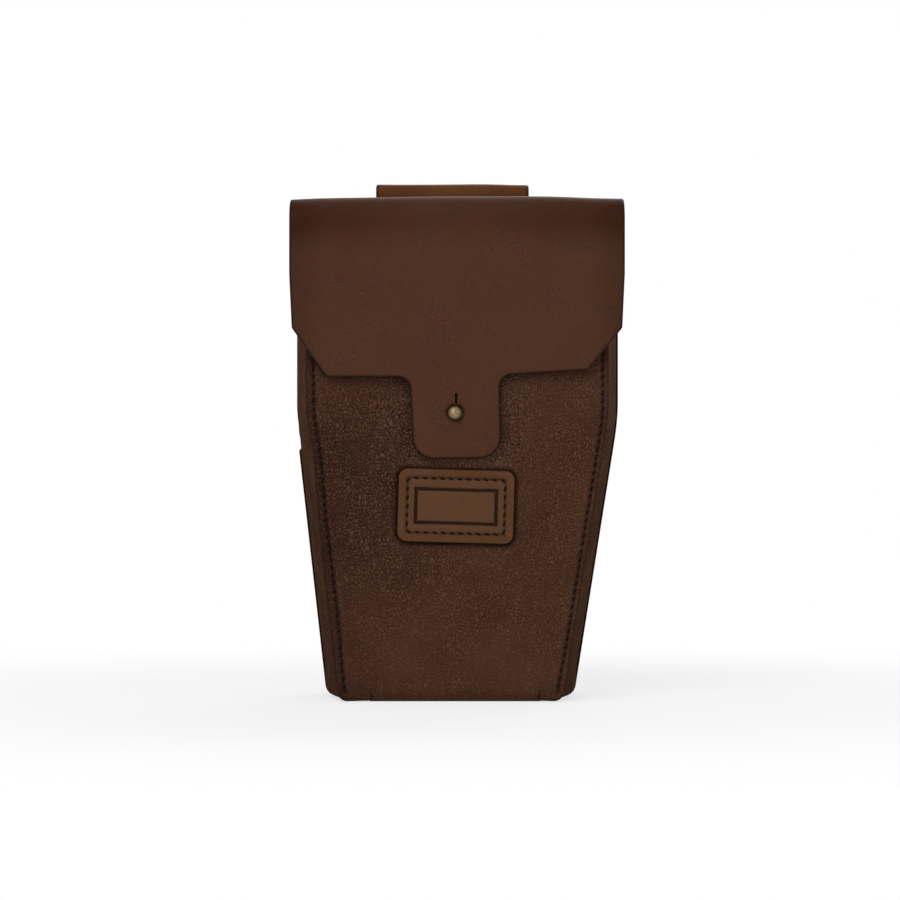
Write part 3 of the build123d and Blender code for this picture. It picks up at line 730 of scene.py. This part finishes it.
# Back panel, rear fold and the rear half of the roof
def makeBack():
    heights, radii = [joinLine, case["shoulder"], 0], [0, case["shoulderRadius"], strip["footCorner"]]
    right, left = ([(sideAt(side, backEdge, z), z) for z in heights] for side in (1, -1))
    outline = roundedLine(right + left[::-1], radii + radii[::-1], strip["outlineStep"], closed=True)
    # The left edge is drawn in above the shoulder and steps out again below it
    z = outline[:, 1]
    drawnIn = strip["drawnIn"] * easeIn(172, 150, z) + strip["drawnIn"] * easeIn(114, 98, z)
    outline[:, 0] += np.where(outline[:, 0] < -40, drawnIn * (1 - easeIn(97, 95.5, z)), 0)

    # How far a point lies from the seam at each side, and whether it is near a side or the bottom seam
    def fromSeams(u, v):
        sides = [side * (sideAt(side, backSeamHalf, v) - u) for side in (-1, 1)]
        return sides, v < case["seamTop"] + 2, np.abs(u - case["footShift"]) < case["bottomSeamHalf"] + 1.8

    # A groove along each seam
    def relief(u, v):
        sides, nearSides, nearBottom = fromSeams(u, v)
        total = sum(grooveRelief(groove, across, v) * nearSides for across in sides)
        return total + grooveRelief(groove, v - case["bottomSeam"], u) * nearBottom

    # Painted shade in the seams' grooves with painted highlights on their ridges, and darker beside the folds
    def tone(u, v):
        sides, nearSides, nearBottom = fromSeams(u, v)
        seams = seamTone(np.minimum(*sides)) * nearSides + seamTone(v - case["bottomSeam"]) * nearBottom
        return seams + foldTone(v)

    rows = [row for side in (-1, 1) for row in seamRows(sideSeam(side, backSeamHalf), grooveOffsets)]
    piece = leatherSheet("back_and_roof", strip, outline, placeStrip, [bridle, burnished, flesh],
                         rows=rows, relief=relief, tone=tone, joinAt=joinLine)
    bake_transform(piece)
    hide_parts("back_panel", "flap_rear_fold")


# Front half of the roof, front fold and the hanging front with its cut corners, tab and keyhole
flap = {
    "narrowStart": 20.0,     # how far below the fold the sides start to lean in
    "narrowRadius": 60.0,
    "lowHalfWidth": 62.7,
    "cutStart": 142.2,       # height of the cut corners' upper ends
    "cutRadii": (2, 1.5),
    "hemHalf": 49.7,
    "leftHem": 123.3,        # heights of the hem, which rises to the right
    "rightHem": (123.9, 126.0),
    "throat": 4.5,           # radius between the hem and the tab
    "tabLeft": (-18.1, -16.5),
    "tabRight": (16.2, 16.9),
    "tabEnd": (apronLow[2] - 0.85, apronLow[2] - 0.3),
    "tabCorner": 8.4,
    "stud": np.array([studLow[0] + studHigh[0], studLow[2] + studHigh[2]]) / 2,
    "holeRadius": 3.2,
    "holeShift": (0.3, 0.1),
    "slitShift": 0.25,
    "slitHalf": 0.32,
    "slitTop": 6.7,
    "slitEnd": 0.5,          # radius of the small hole at the slit's end
}


# The hole for the stud, with a slit a little right of its middle that ends in a small round hole
def keyhole():
    start, end = np.arccos((flap["slitShift"] + flap["slitHalf"] * np.array([-1, 1])) / flap["holeRadius"])
    around = np.linspace(start, end + 2 * np.pi, 40)
    hole = flap["holeRadius"] * np.c_[np.cos(around), np.sin(around)]
    around = np.linspace(-np.pi * 0.31, np.pi * 1.31, 12)
    bulb = [flap["slitShift"], flap["slitTop"]] + flap["slitEnd"] * np.c_[np.cos(around), np.sin(around)]
    slit = [np.linspace(*ends, 6)[1:-1] for ends in ((hole[-1], bulb[0]), (bulb[-1], hole[0]))]
    line = np.vstack([hole, slit[0], bulb, slit[1]]) + flap["holeShift"] + flap["stud"]
    return np.c_[line[:, 0], apronAt(line[:, 1])]


# The corners of the flap's outline go down its right side to the tab's end and up its left side
def makeFlap():
    low, (rightLow, rightHigh) = flap["leftHem"], flap["rightHem"]
    right = [(case["halfWidth"], joinLine), (case["halfWidth"], apronStart + flap["narrowStart"]),
             (flap["lowHalfWidth"], apronAt(flap["cutStart"])), (flap["hemHalf"], apronAt(rightHigh)),
             (flap["tabRight"][0], apronAt(rightLow)), (flap["tabRight"][1], apronAt(flap["tabEnd"][1]))]
    left = [(-u, v) for u, v in right[:3]] + [
        (-flap["hemHalf"], apronAt(low)), (flap["tabLeft"][0], apronAt(low)),
        (flap["tabLeft"][1], apronAt(flap["tabEnd"][0]))]
    radii = [0, flap["narrowRadius"], *flap["cutRadii"], flap["throat"], flap["tabCorner"]]
    outline = roundedLine(right + left[::-1], radii + radii[::-1], strip["outlineStep"], closed=True)

    # Dark beside the folds, less in their middle, and towards the sides
    def tone(u, v):
        sides = 0.45 * easeIn(case["halfWidth"] - 16, case["halfWidth"], np.abs(u))
        return np.minimum(1, foldTone(v) * (0.55 + 0.45 * easeIn(10, 45, np.abs(u))) + sides)

    piece = leatherSheet("roof_and_apron", {**strip, "gridStep": strip["flapStep"]}, outline, placeStrip,
                         [bridle, burnished, flesh], holes=[keyhole()], tone=tone, joinAt=joinLine)
    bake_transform(piece)
    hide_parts("flap_top", "flap_front_fold", "flap_front")


makeBack()
makeFlap()
print("bridle leather strip made")

# Badge: a smooth patch sewn on the front, with a pressed frame round its bare field
badge = {
    "width": 44.9,
    "height": 28.6,
    "corner": 4.0,
    "turn": math.radians(-1.6),
    "middle": ((badgeLow[0] + badgeHigh[0]) / 2, (badgeLow[2] + badgeHigh[2]) / 2),
    "seamInset": 4.0,
    "seamCorner": 1.6,
    "frameWidth": 31.8,
    "frameHeight": 14.1,
    "frameShift": -0.2,
    "frameLine": 1.3,        # width of the line
    "frameDepth": 0.35,
    "lineSlope": (0.06, 0.14),  # how far its pressed sides reach in and out
    "fieldDepth": 0.08,
    "swell": 0.08,
    "groove": {"width": 1.0, "depth": 0.25, "ridge": 0.05, "pitch": 3.3},
    "thickness": 1.8, "crown": 0.5, "grainRings": 0, "gridStep": 0.7, "edgeRows": 6, "outlineStep": 0.7,
}


# Corners of a rectangle about the origin, made smaller by an inset all round
def rectangle(width, height, inset=0):
    x, y = width / 2 - inset, height / 2 - inset
    return [(x, y), (-x, y), (-x, -y), (x, -y)]


# How far a point lies outside a rectangle about the origin, less than 0 inside it. Near a rounded corner it
# is the distance to the middle of the corner's arc, less its radius.
def beyondRectangle(u, v, width, height, corner=0):
    across, up = np.abs(u) - width / 2 + corner, np.abs(v) - height / 2 + corner
    if not corner:
        return np.maximum(across, up)
    return np.hypot(np.maximum(across, 0), np.maximum(up, 0)) + np.minimum(np.maximum(across, up), 0) - corner


# Pebbled front, with the tongue that wraps under the case. Its pattern's v runs down from the mouth.
front = {
    "wrapBend": 5.0,
    "wrapReturn": 14.0,      # how far the tongue turns up inside the back
    "corner": 4.2,
    "cornerLift": 0.15,
    "earLift": 0.35,         # the ears beside the tongue end a little above the floor
    "slit": 0.03,
    "slitCrown": 0.05,
    "lap": 0.3,              # how far the ears spread from the tongue
    "waviness": 0.25,
    "waveSize": 26,
    "pucker": 0.32,
    "puckerSize": 7.5,
    "puckerReach": 5.5,      # distance from the seam at which the puckers are down to a third
    "shoulderPucker": 2.2,   # how much stronger they are at the shoulder
    "pull": 1.1,             # how far the left side is drawn in below the shoulder
    "thickness": 2.2, "crown": 0.5, "grainRings": 0, "gridStep": 1.0, "edgeRows": 6, "outlineStep": 0.9,
}
mouth = frontHigh[2]
frontLine = roundedLine(
    [(frontLow[1], mouth), (frontLow[1], 0), (frontHigh[1], 0), (frontHigh[1], front["wrapReturn"])],
    [front["wrapBend"]] * 2, 2.0, 0.15)


# How far the left side is drawn in at a height: a bell below the shoulder, where the gusset pulls on its seam
def pulledIn(z):
    return front["pull"] * hump(z, 90, 18)


# Across at a height of the seam on the front, which runs a little to the right of the panel's middle
def seamAt(side, z):
    drift = 0.35 + 0.6 * easeIn(76, 50, z) - 0.6 * easeIn(34, 8, z) if side < 0 else 0.4 * easeIn(6, 24, z)
    return sideAt(side, frontSeamHalf, z) + drift


# How far a point lies to the side of the tongue that wraps under the case, less than 0 on it
def beyondWrap(u):
    return np.maximum(case["wrapEdge"][-1] - u, u - case["wrapEdge"][1])


# The tongue lies along the front's line, and the ears beside it stay upright and spread a little at their
# ends. Slow waves lift both, and the left side is pulled in.
def placeFront(u, v, h):
    h = h + front["waviness"] * unevenness(u, v, front["waveSize"], 11) * (1 - easeIn(150, 176, v))
    x = u + pulledIn(mouth - v) * easeIn(-25, -50, u)
    fromSlit = beyondWrap(u)
    spread = front["lap"] * easeIn(178.6, 180.5, v) * easeIn(5, 0, fromSlit)
    ears = np.c_[x - np.sign(u - case["footShift"]) * spread, frontLow[1] - h, mouth - v]
    return np.where((fromSlit > front["slit"] / 2)[:, None], ears, alongStrip(frontLine, x, v, h))


# Path of a seam on the front, from its top down
def frontSeam(side):
    across, z = sideSeam(side, frontSeamHalf).T
    return np.c_[across + seamAt(side, z) - sideAt(side, frontSeamHalf, z), mouth - z]


def makeFront():
    shoulder, lift = case["shoulder"], front["cornerLift"]
    slitTop = mouth - front["wrapBend"] + 0.3

    # Corners of one side, from the mouth down, round the ear, along the slit and to the tongue's end
    def half(side):
        edge = case["wrapEdge"][side]
        ear = edge + side * front["slit"]
        return [
            (side * frontEdge[0], 0), (sideAt(side, frontEdge, shoulder), mouth - shoulder),
            (sideAt(side, frontEdge, lift), mouth - lift), (ear, mouth - lift - front["earLift"]),
            (ear, slitTop), (edge, slitTop), (edge, lengthsOf(frontLine)[-1])]

    radii = [0, case["shoulderRadius"], front["corner"], 0.3, 0.01, 0.01, 0]
    outline = roundedLine(half(1) + half(-1)[::-1], radii + radii[::-1], front["outlineStep"], 0.35,
                          closed=True)

    # Distances from the two seams, and whether a point is as high as they are
    def fromSeams(u, z):
        sides = [side * (seamAt(side, z) - u) for side in (-1, 1)]
        return sides, (z > case["seamEnd"] - 2) & (z < case["seamTop"] + 2)

    # A groove along each seam, and puckers that die away from it and are strongest at the shoulder
    def relief(u, v):
        total, z = 0, mouth - v
        sides, onSeam = fromSeams(u, z)
        for side, across in zip((-1, 1), sides):
            strength = 1 + front["shoulderPucker"] * hump(z, 100, 16)
            pulled = np.exp(-np.abs(across) / front["puckerReach"]) * strength * (1 - hump(across, 0, 1.2))
            puckers = front["pucker"] * unevenness(across * 0.35, z, front["puckerSize"], 17 + side)
            total = total + grooveRelief(groove, across, v) * onSeam + pulled * puckers
        return total * (1 - easeIn(172, 178, v) * (beyondWrap(u) < 1))

    # How strong the band at each side of the tab is, which gets painted light and livelier pebbles
    def besideTab(u, z):
        return hump(np.abs(u) - 20, 0, 9) * easeIn(84, 104, z)

    # Painted shade at the seams, outside the left seam and over the low left side, painted shadow under the
    # flap and round the badge, darker low down and beside the tongue, and painted light beside and below the
    # tab
    def tone(u, v):
        z = mouth - v
        sides, onSeam = fromSeams(u, z)
        across = np.minimum(*sides)
        # Painted shade in the seams' grooves, and on the margin outside the left seam, where the case's body
        # keeps the light off
        seams = seamTone(across, 0.08) * onSeam + 0.35 * easeIn(-0.4, -1.6, across) * (u < 0)
        # Painted shadow high up under the flap, and painted light beside the tab
        underFlap = 0.35 * easeIn(60, 48, v) - 0.38 * besideTab(u, z)
        # Painted light under the tab, where it lifts the shade that the tab casts
        underTab = -0.7 * hump(z, 91, 4) * easeIn(24, 14, np.abs(u))
        bottom = 0.05 * easeIn(168, 180, v) * (1 - easeIn(184, 190, v))
        besideTongue = 0.25 * easeIn(173, 181, v) * easeIn(-4, 2, beyondWrap(u))
        # Painted shade over the low left side, which the light from the right reaches less
        lowLeft = 0.2 * easeIn(-22, -44, u) * easeIn(125, 95, z)
        onBadge = turned(u - badge["middle"][0], z - badge["middle"][1], -badge["turn"])
        outside = beyondRectangle(*onBadge, badge["width"], badge["height"], badge["corner"])
        # The last term is painted shade in a line round the badge's edge
        return seams + underFlap + underTab + bottom + besideTongue + lowLeft + hump(outside, 0.2, 0.6)

    # The pebbles are liveliest at the left and beside the tab, and worn smooth low down and at the right
    def grain(u, v):
        z = mouth - v
        leftSide = easeIn(12, -30, u) * easeIn(30, 70, z) * easeIn(128, 92, z)
        places = 0.3 * besideTab(u, z) + 0.42 * leftSide - 0.2 * easeIn(40, 10, z)
        return np.clip(0.71 + places + 0.14 * unevenness(u, v, 30, 53), 0.25, 1.2)

    # The cut edge is sharp along the slits, where the ears meet the tongue
    def crownAt(loop):
        toSlit = np.abs(beyondWrap(loop[:, 0])) + np.maximum(0, slitTop - loop[:, 1])
        return front["slitCrown"] + (front["crown"] - front["slitCrown"]) * easeIn(0.8, 3, toSlit)

    rows = [row for side in (-1, 1) for row in seamRows(frontSeam(side), grooveOffsets)]
    piece = leatherSheet("front_and_wrap", {**front, "crown": crownAt}, outline, placeFront,
                         [pebbled, dyed, flesh], rows=rows, relief=relief, tone=tone, grain=grain)
    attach(piece, "case")
    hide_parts("front_panel")


makeFront()
print("front made")

# Gussets: a wall that splays to the back, flanges turned in behind both panels, and a tab under the case.
# The pattern's u goes across, from the front flange to the back one, and its v down from the mouth.
gusset = {
    "inset": 0.8,            # how far its wall stays inside the panels' edges
    "lift": 1.0,
    "corner": 2.2,
    "flange": 9.0,
    "flangeBend": 2.4,
    "flangeEnd": 9.0,        # height where the flanges end
    "tabReach": 12.0,        # how far the tab reaches over the tongue, and how narrow it is
    "tabInset": 5.5,
    "rampLength": 2.2,
    "bulge": 0.8,
    "belly": 2.2,
    "waviness": 0.75,
    "waveSize": 28,
    "crease": 0.45,
    "creaseInset": 9,        # how far behind the front edge of the wall it runs
    "puckers": 0.55,
    "puckerPitch": 7,
    "drags": 0.32,
    "dragPitch": 11,
    "thickness": 1.8, "crown": 0.6, "grainRings": 0, "gridStep": 1.3, "edgeRows": 5, "outlineStep": 1.2,
}
gussetDepth = backLow[1] - case["frontFace"] - front["thickness"]


# Lines down the front seam and the back edge of a gusset and in under the case, as (across, height), and how
# far along each its corners come
def gussetLines(side):
    wrapEdge, onWrap, lift = case["wrapEdge"][side], front["thickness"] + 0.1, gusset["lift"]
    nearWrap = wrapEdge + side * 1.1
    lines, marks = [], []
    for halves in (frontEdge - gusset["inset"], backEdge - gusset["inset"]):
        points = [(sideAt(side, halves, z), z) for z in (gussetTop, case["shoulder"], lift)]
        points += [(nearWrap + side * gusset["rampLength"], lift), (nearWrap, onWrap),
                   (wrapEdge - side * gusset["tabReach"], onWrap)]
        line = roundedLine(points, [case["shoulderRadius"], gusset["corner"], 2, 2], 2.0, 0.3)
        nearest = np.linalg.norm(line[:, None] - np.array(points), axis=2).argmin(0)
        lines.append(line)
        marks.append(lengthsOf(line)[nearest])
    return lines, marks


def makeGusset(side):
    (frontEdgeLine, backEdgeLine), (frontMarks, backMarks) = gussetLines(side)
    total, footMark = backMarks[-1], backMarks[2]
    bend, flange = gusset["flangeBend"], gusset["flange"]
    section = roundedLine([(-flange, 0), (0, 0), (0, gussetDepth), (-flange, gussetDepth)], bend, 1.5, 0.2)
    across = lengthsOf(section)[-1]
    wallStart, wallEnd = flange - bend, across - flange + bend

    # Small waves across the wall at the shoulder, where the bend has too much leather, strongest at its seams
    def puckers(u, v):
        middle = np.abs(u - across / 2) / (across / 2 - wallStart)
        wave = np.sin(v * 2 * np.pi / gusset["puckerPitch"] + u / 9 + 1.6 * unevenness(u, v, 26, 91 + side))
        return wave * hump(v, gussetTop - 104, 12) * (0.35 + 0.65 * np.clip(middle, 0, 1) ** 2)

    # Drag lines above the shoulder, which slant from the back down to the front
    def drags(u, v):
        wave = np.sin((u + v + 2.5 * unevenness(u, v, 30, 61 + side)) * 2 * np.pi / gusset["dragPitch"])
        return wave * hump(v, gussetTop - 124, 17)

    # A fold down the wall below the shoulder: how far across it a point lies, and how strong it is there
    def foldAt(u, v):
        fromFold = u - wallStart - gusset["creaseInset"] - 2.5 * unevenness(v, 0 * v, 60, 81 + side)
        return fromFold, easeIn(60, 84, v) * easeIn(total - 26, 150, v)

    # Each point is the section's, stretched between the front and the back line and moved square to them by
    # the bulge, which is a half sine from seam to seam, and by the waves and folds
    def place(u, v, h):
        (out, deep), (dOut, dDeep) = alongLine(section, u)
        share = deep / gussetDepth
        (fx, fz), (fdx, fdz) = alongLine(frontEdgeLine, np.interp(v, backMarks, frontMarks))
        (bx, bz), (bdx, bdz) = alongLine(backEdgeLine, v)
        dx, dz = fdx + (bdx - fdx) * share, fdz + (bdz - fdz) * share
        wall = np.sin(np.pi * np.clip(share, 0, 1))
        waves = gusset["waviness"] * unevenness(u, v, gusset["waveSize"], 31 + side)
        fromFold, strength = foldAt(u, v)
        out = out + wall * (1 - easeIn(150, 172, v)) * (gusset["bulge"] + waves)
        out = out + wall * (gusset["puckers"] * puckers(u, v) + gusset["drags"] * drags(u, v))
        away = out - gusset["crease"] * hump(fromFold, 0, 2.2) * strength + dDeep * h
        x, z = fx + (bx - fx) * share - side * dz * away, fz + (bz - fz) * share + side * dx * away
        if side < 0:
            x = x + pulledIn(z) * (1 - share)
        belly = gusset["belly"] * wall * hump(v, footMark - 3, 9) * easeIn(total - 17, total - 22, v)
        return np.c_[x + side * belly, case["frontFace"] + front["thickness"] + deep - dOut * h, z]

    # Painted shade in the creases at and above the shoulder and along the fold; paler towards the mouth, and
    # more so on the right gusset, as painted light from the right
    def tone(u, v):
        fromFold, strength = foldAt(u, v)
        paleAndHighlight = (0.65 + 0.2 * side) * easeIn(105, 55, v)
        creases = 0.55 * np.maximum(0, -puckers(u, v)) ** 2 + 0.8 * np.maximum(0, -drags(u, v)) ** 2
        return creases - paleAndHighlight + 0.3 * hump(fromFold, 0.4, 1.0) * strength

    # The pebbles are livelier in some patches than in others
    def grain(u, v):
        return np.clip(0.8 + 0.3 * unevenness(u, v, 25, 71), 0.3, 1.1)

    tabStart = total - gusset["tabReach"] - gusset["rampLength"] - 3.2
    flangeEnd = gussetTop - gusset["flangeEnd"]
    back = [(wallEnd, flangeEnd + 2), (wallEnd, tabStart), (wallEnd - gusset["tabInset"], tabStart + 1),
            (wallEnd - gusset["tabInset"], total)]
    outline = roundedLine(
        [(0, 0), (across, 0), (across, flangeEnd), *back, *((across - u, v) for u, v in back[::-1]),
         (0, flangeEnd)],
        [0.6, 0.6, 2, 1, 1, 1, 2, 2, 1, 1, 1, 2], gusset["outlineStep"], 0.4, closed=True)
    name = "left_gusset_leather" if side < 0 else "right_gusset_leather"
    piece = leatherSheet(name, gusset, outline, place, [gussetLeather, dyed, flesh], tone=tone, grain=grain)
    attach(piece, "case")
    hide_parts("left_gusset" if side < 0 else "right_gusset")


makeGusset(-1)
makeGusset(1)
print("gussets made")

# Belt loop: a strap folded over at its top and sewn down at its lower end
loop = {
    "joint": 16.0,           # height of the part that is sewn down
    "slope": 13.0,
    "footBend": 6.0,
    "bellyBend": 10.0,
    "topBend": 3.8,
    "seamInset": 4.0,
    "waviness": 0.2,
    "thickness": 2.4, "crown": 0.8, "grainRings": 1, "gridStep": 1.3, "edgeRows": 6, "outlineStep": 1.0,
}
loopSewn = loopLow[1] + 2 * loop["thickness"] + 0.1
loopJoint = loopLow[2] + loop["joint"]
loopBends = [loop[bend] + loop["thickness"] / 2 for bend in ("footBend", "bellyBend", "topBend", "topBend")]
loopLine = roundedLine(
    [(loopSewn, loopLow[2]), (loopSewn, loopJoint), (loopHigh[1], loopJoint + loop["slope"]),
     (loopHigh[1], loopHigh[2]), (loopLow[1], loopHigh[2]), (loopLow[1], loopLow[2])],
    loopBends, 2.0, 0.15)
# The seam that holds the strap down is a box in its pattern: its middle, its size and its corners
loopMiddle = np.array([(loopLow[0] + loopHigh[0]) / 2, (loop["seamInset"] + loop["joint"]) / 2])
loopBoxSize = np.array([loopHigh[0] - loopLow[0] - 2 * loop["seamInset"], loop["joint"] - loop["seamInset"]])
loopBox = loopMiddle + loopBoxSize / 2 * [(-1, -1), (1, -1), (1, 1), (-1, 1)]


# The strap lies along its line, and slow waves lift its outer face
def placeLoop(u, v, h):
    outer = easeIn(20, 45, v) * (1 - easeIn(95, 110, v))
    return alongStrip(loopLine, u, v, h + loop["waviness"] * unevenness(u, v, 30, 41) * outer)


def makeLoop():
    length = lengthsOf(loopLine)[-1]
    outline = roundedLine([(loopLow[0], 0), (loopHigh[0], 0), (loopHigh[0], length), (loopLow[0], length)],
                          1.5, loop["outlineStep"], closed=True)

    # How far a point lies outside the seam, and less than 0 inside it
    def fromBox(u, v):
        return beyondRectangle(u - loopMiddle[0], v - loopMiddle[1], *loopBoxSize)

    # A shallower groove along the seam
    def relief(u, v):
        return grooveRelief({**groove, "depth": 0.25, "ridge": 0.06}, fromBox(u, v), u + v)

    # Painted shade in the groove of the seam with painted highlights beside it, and paler in a band down the
    # middle of the outer face
    def tone(u, v):
        return seamTone(fromBox(u, v)) - 0.3 * hump(u, loopMiddle[0], 14) * easeIn(60, 90, v)

    boxLine = np.vstack([roundedLine(loopBox, 0.8, 2, closed=True), loopBox[:1]])
    piece = leatherSheet("belt_loop_strap", loop, outline, placeLoop, [loopLeather, burnished, flesh],
                         rows=seamRows(boxLine, (-0.9, -0.4, 0, 0.4, 0.9)), relief=relief, tone=tone)
    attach(piece, "case")
    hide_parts("belt_loop")


makeLoop()
print("belt loop made")


# The badge is flat, turned a little, and lies on the front
def placeBadge(u, v, h):
    x, z = turned(u, v, badge["turn"])
    return np.c_[x + badge["middle"][0], case["frontFace"] - badge["thickness"] - h, z + badge["middle"][1]]


# Path round the badge, this far in from its edge
def badgePath(inset, corner):
    line = roundedLine(rectangle(badge["width"], badge["height"], inset), corner, 0.7, 0.3, closed=True)
    return np.vstack([line, line[:1]])


def makeBadge():
    outline = roundedLine(rectangle(badge["width"], badge["height"]), badge["corner"], badge["outlineStep"],
                          closed=True)

    # How far a point lies outside the seam and outside the frame, and how much it is on the frame's line and
    # on the field inside it
    def parts(u, v):
        inset, line, (slopeIn, slopeOut) = badge["seamInset"], badge["frameLine"], badge["lineSlope"]
        seam = beyondRectangle(u, v, badge["width"] - 2 * inset, badge["height"] - 2 * inset)
        outer = beyondRectangle(u, v - badge["frameShift"], badge["frameWidth"], badge["frameHeight"])
        onLine = easeIn(slopeOut, -slopeIn, outer) * easeIn(-line - slopeOut, -line + slopeIn, outer)
        return seam, outer, onLine, easeIn(-line + slopeIn, -line - slopeOut, outer)

    # The frame's line and the field are pressed in, a low swell runs round them, and the seam has a groove
    def relief(u, v):
        seam, outer, onLine, field = parts(u, v)
        pressed = badge["frameDepth"] * onLine + badge["fieldDepth"] * field
        return grooveRelief(badge["groove"], seam, u + v) - pressed + badge["swell"] * hump(outer, 1.6, 1.2)

    # Painted shade in the seam's groove, darker in the frame's line, and paler inside the seam
    def tone(u, v):
        seam, _, onLine, field = parts(u, v)
        inner = easeIn(0.4, -0.6, seam) * (1 - onLine)
        return np.clip(0.75 * hump(seam, 0, 0.6) + 0.95 * onLine + 0.08 * field - 0.5 * inner, -1, 1)

    rows = []
    (slopeIn, slopeOut), line = badge["lineSlope"], badge["frameLine"]
    for inset in (-slopeOut, slopeIn, 0.6, line - slopeIn, line + slopeOut):
        corners = rectangle(badge["frameWidth"], badge["frameHeight"], inset)
        rows.append(roundedLine(corners, 0.2, 0.7, 0.3, closed=True) + [0, badge["frameShift"]])
    rows += [badgePath(badge["seamInset"] + inset, badge["seamCorner"]) for inset in (-0.5, 0, 0.5)]
    piece = leatherSheet("badge_patch", badge, outline, placeBadge, [badgeLeather, burnished, flesh],
                         rows=rows, relief=relief, tone=tone)
    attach(piece, "case")
    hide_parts("badge")


makeBadge()
print("badge made")

# Stitches, each a slug of thread that dives into the leather at both ends
stitches = {
    "pitch": 3.04,
    "length": 2.3,
    "width": 0.82,
    "flatness": 0.8,
    "slant": 24,             # degrees
    "unevenAngle": 3.5,
    "uneven": 0.03,
    "rise": -0.12,           # height of a stitch's middle over the leather
    "dip": 0.6,
    "rings": 7,
    "sides": 6,
}


# Each row follows its seam's path on the sheet that it is sewn on
def makeThreads():
    bottomSeam = [(case["footShift"] + side * case["bottomSeamHalf"], case["bottomSeam"]) for side in (-1, 1)]
    rows = [
        ("left_front", frontSeam(-1), placeFront, {}),
        ("right_front", frontSeam(1), placeFront, {}),
        ("left_back", sideSeam(-1, backSeamHalf), placeStrip, {}),
        ("right_back", sideSeam(1, backSeamHalf), placeStrip, {}),
        ("bottom", np.array(bottomSeam), placeStrip, {}),
        ("belt_loop_box", np.vstack([loopBox, loopBox[:1]]), placeLoop, {"rise": 0.05}),
        ("badge", badgePath(badge["seamInset"], badge["seamCorner"]), placeBadge,
         {"pitch": 3.3, "slant": -16, "rise": 0.0, "length": 2.35}),
    ]
    for number, (name, path, place, changes) in enumerate(rows):
        settings = {**stitches, **changes, "seed": number}
        piece = threadRow(name + "_thread", settings, path, place, closed=name == "badge")
        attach(piece, "case")
        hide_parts(name + "_stitching")


makeThreads()
for node, material in (("stud", brass), ("stud_screw", brass), ("belt_loop_row_stitching", solidThread)):
    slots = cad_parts[node].data.materials
    slots.clear()
    slots.append(material)
print("threads made")

# Floor, light and camera
studio = {
    "floorSize": 12.0, "worldLight": 0.4, "shadowShare": 0.3, "shadowReach": (0.12, 0.4),
    "lens": 143.2, "camera": (-0.00266, -1.3895, 0.0958),
    "lamps": [
        {"name": "key softbox", "place": (-0.55, -1.4, 1.35), "size": 1.1, "power": 18},
        {"name": "fill softbox", "place": (1.2, -1.2, 0.4), "size": 1.0, "power": 5},
        {"name": "rear softbox", "place": (0.4, 1.6, 1.3), "size": 1.2, "power": 12},
    ],
}


# 1 on rays from the camera, and on those that metal and glass send on
def seenRays(add):
    path = add("LightPath").outputs
    seen = add("Math", {0: path["Is Camera Ray"], 1: path["Is Glossy Ray"]}, operation="MAXIMUM")
    return add("Math", {0: seen, 1: path["Is Transmission Ray"]}, operation="MAXIMUM")


def makeStudio():
    scene = bpy.context.scene
    scene.view_settings.view_transform = "Standard"
    scene.world = bpy.data.worlds.new("white studio")
    scene.world.use_nodes = True
    scene.world.node_tree.nodes.clear()
    add = partial(addNode, scene.world.node_tree)
    light = add("Background", {"Color": (1, 1, 1, 1), "Strength": studio["worldLight"]})
    white = add("Background", {"Color": (1, 1, 1, 1), "Strength": 1.0})
    both = add("MixShader", {0: seenRays(add), 1: light, 2: white})
    add("OutputWorld", {"Surface": both})

    # The floor keeps the case's shadow, and turns white away from it
    material, add = startMaterial("pale studio floor")
    place = add("TexCoord").outputs["Object"]
    away = add("VectorMath", {0: place}, operation="LENGTH").outputs["Value"]
    near, far = studio["shadowReach"]
    plain = add("MapRange", {"Value": away, "From Min": near, "From Max": far,
                             "To Min": 1 - studio["shadowShare"]}, **smoothly)
    share = add("Math", {0: plain, 1: seenRays(add)}, **times)
    matt = add("BsdfDiffuse", {"Color": (0.9, 0.9, 0.9, 1)})
    white = add("Emission", {"Color": (1, 1, 1, 1), "Strength": 1.0})
    both = add("MixShader", {0: share, 1: matt, 2: white})
    add("OutputMaterial", {"Surface": both})
    half = studio["floorSize"] / 2
    mesh = bpy.data.meshes.new("studio_floor")
    corners = [(-half, -half, 0), (half, -half, 0), (half, half, 0), (-half, half, 0)]
    mesh.from_pydata(corners, [], [(0, 1, 2, 3)])
    mesh.materials.append(material)
    floor = bpy.data.objects.new("studio_floor", mesh)
    scene.collection.objects.link(floor)

    middle = Vector((0, 0, 0.1))
    for lamp in studio["lamps"]:
        light = bpy.data.lights.new(lamp["name"], "AREA")
        light.size = lamp["size"]
        light.energy = lamp["power"]
        holder = bpy.data.objects.new(lamp["name"], light)
        holder.location = lamp["place"]
        holder.rotation_mode = "QUATERNION"
        holder.rotation_quaternion = (middle - Vector(lamp["place"])).to_track_quat("-Z", "Y")
        scene.collection.objects.link(holder)
    camera = bpy.data.objects.new("camera", bpy.data.cameras.new("camera"))
    camera.data.lens = studio["lens"]
    camera.location = studio["camera"]
    camera.rotation_euler = (math.pi / 2, 0, 0)
    scene.collection.objects.link(camera)
    scene.camera = camera


makeStudio()
print("studio made")
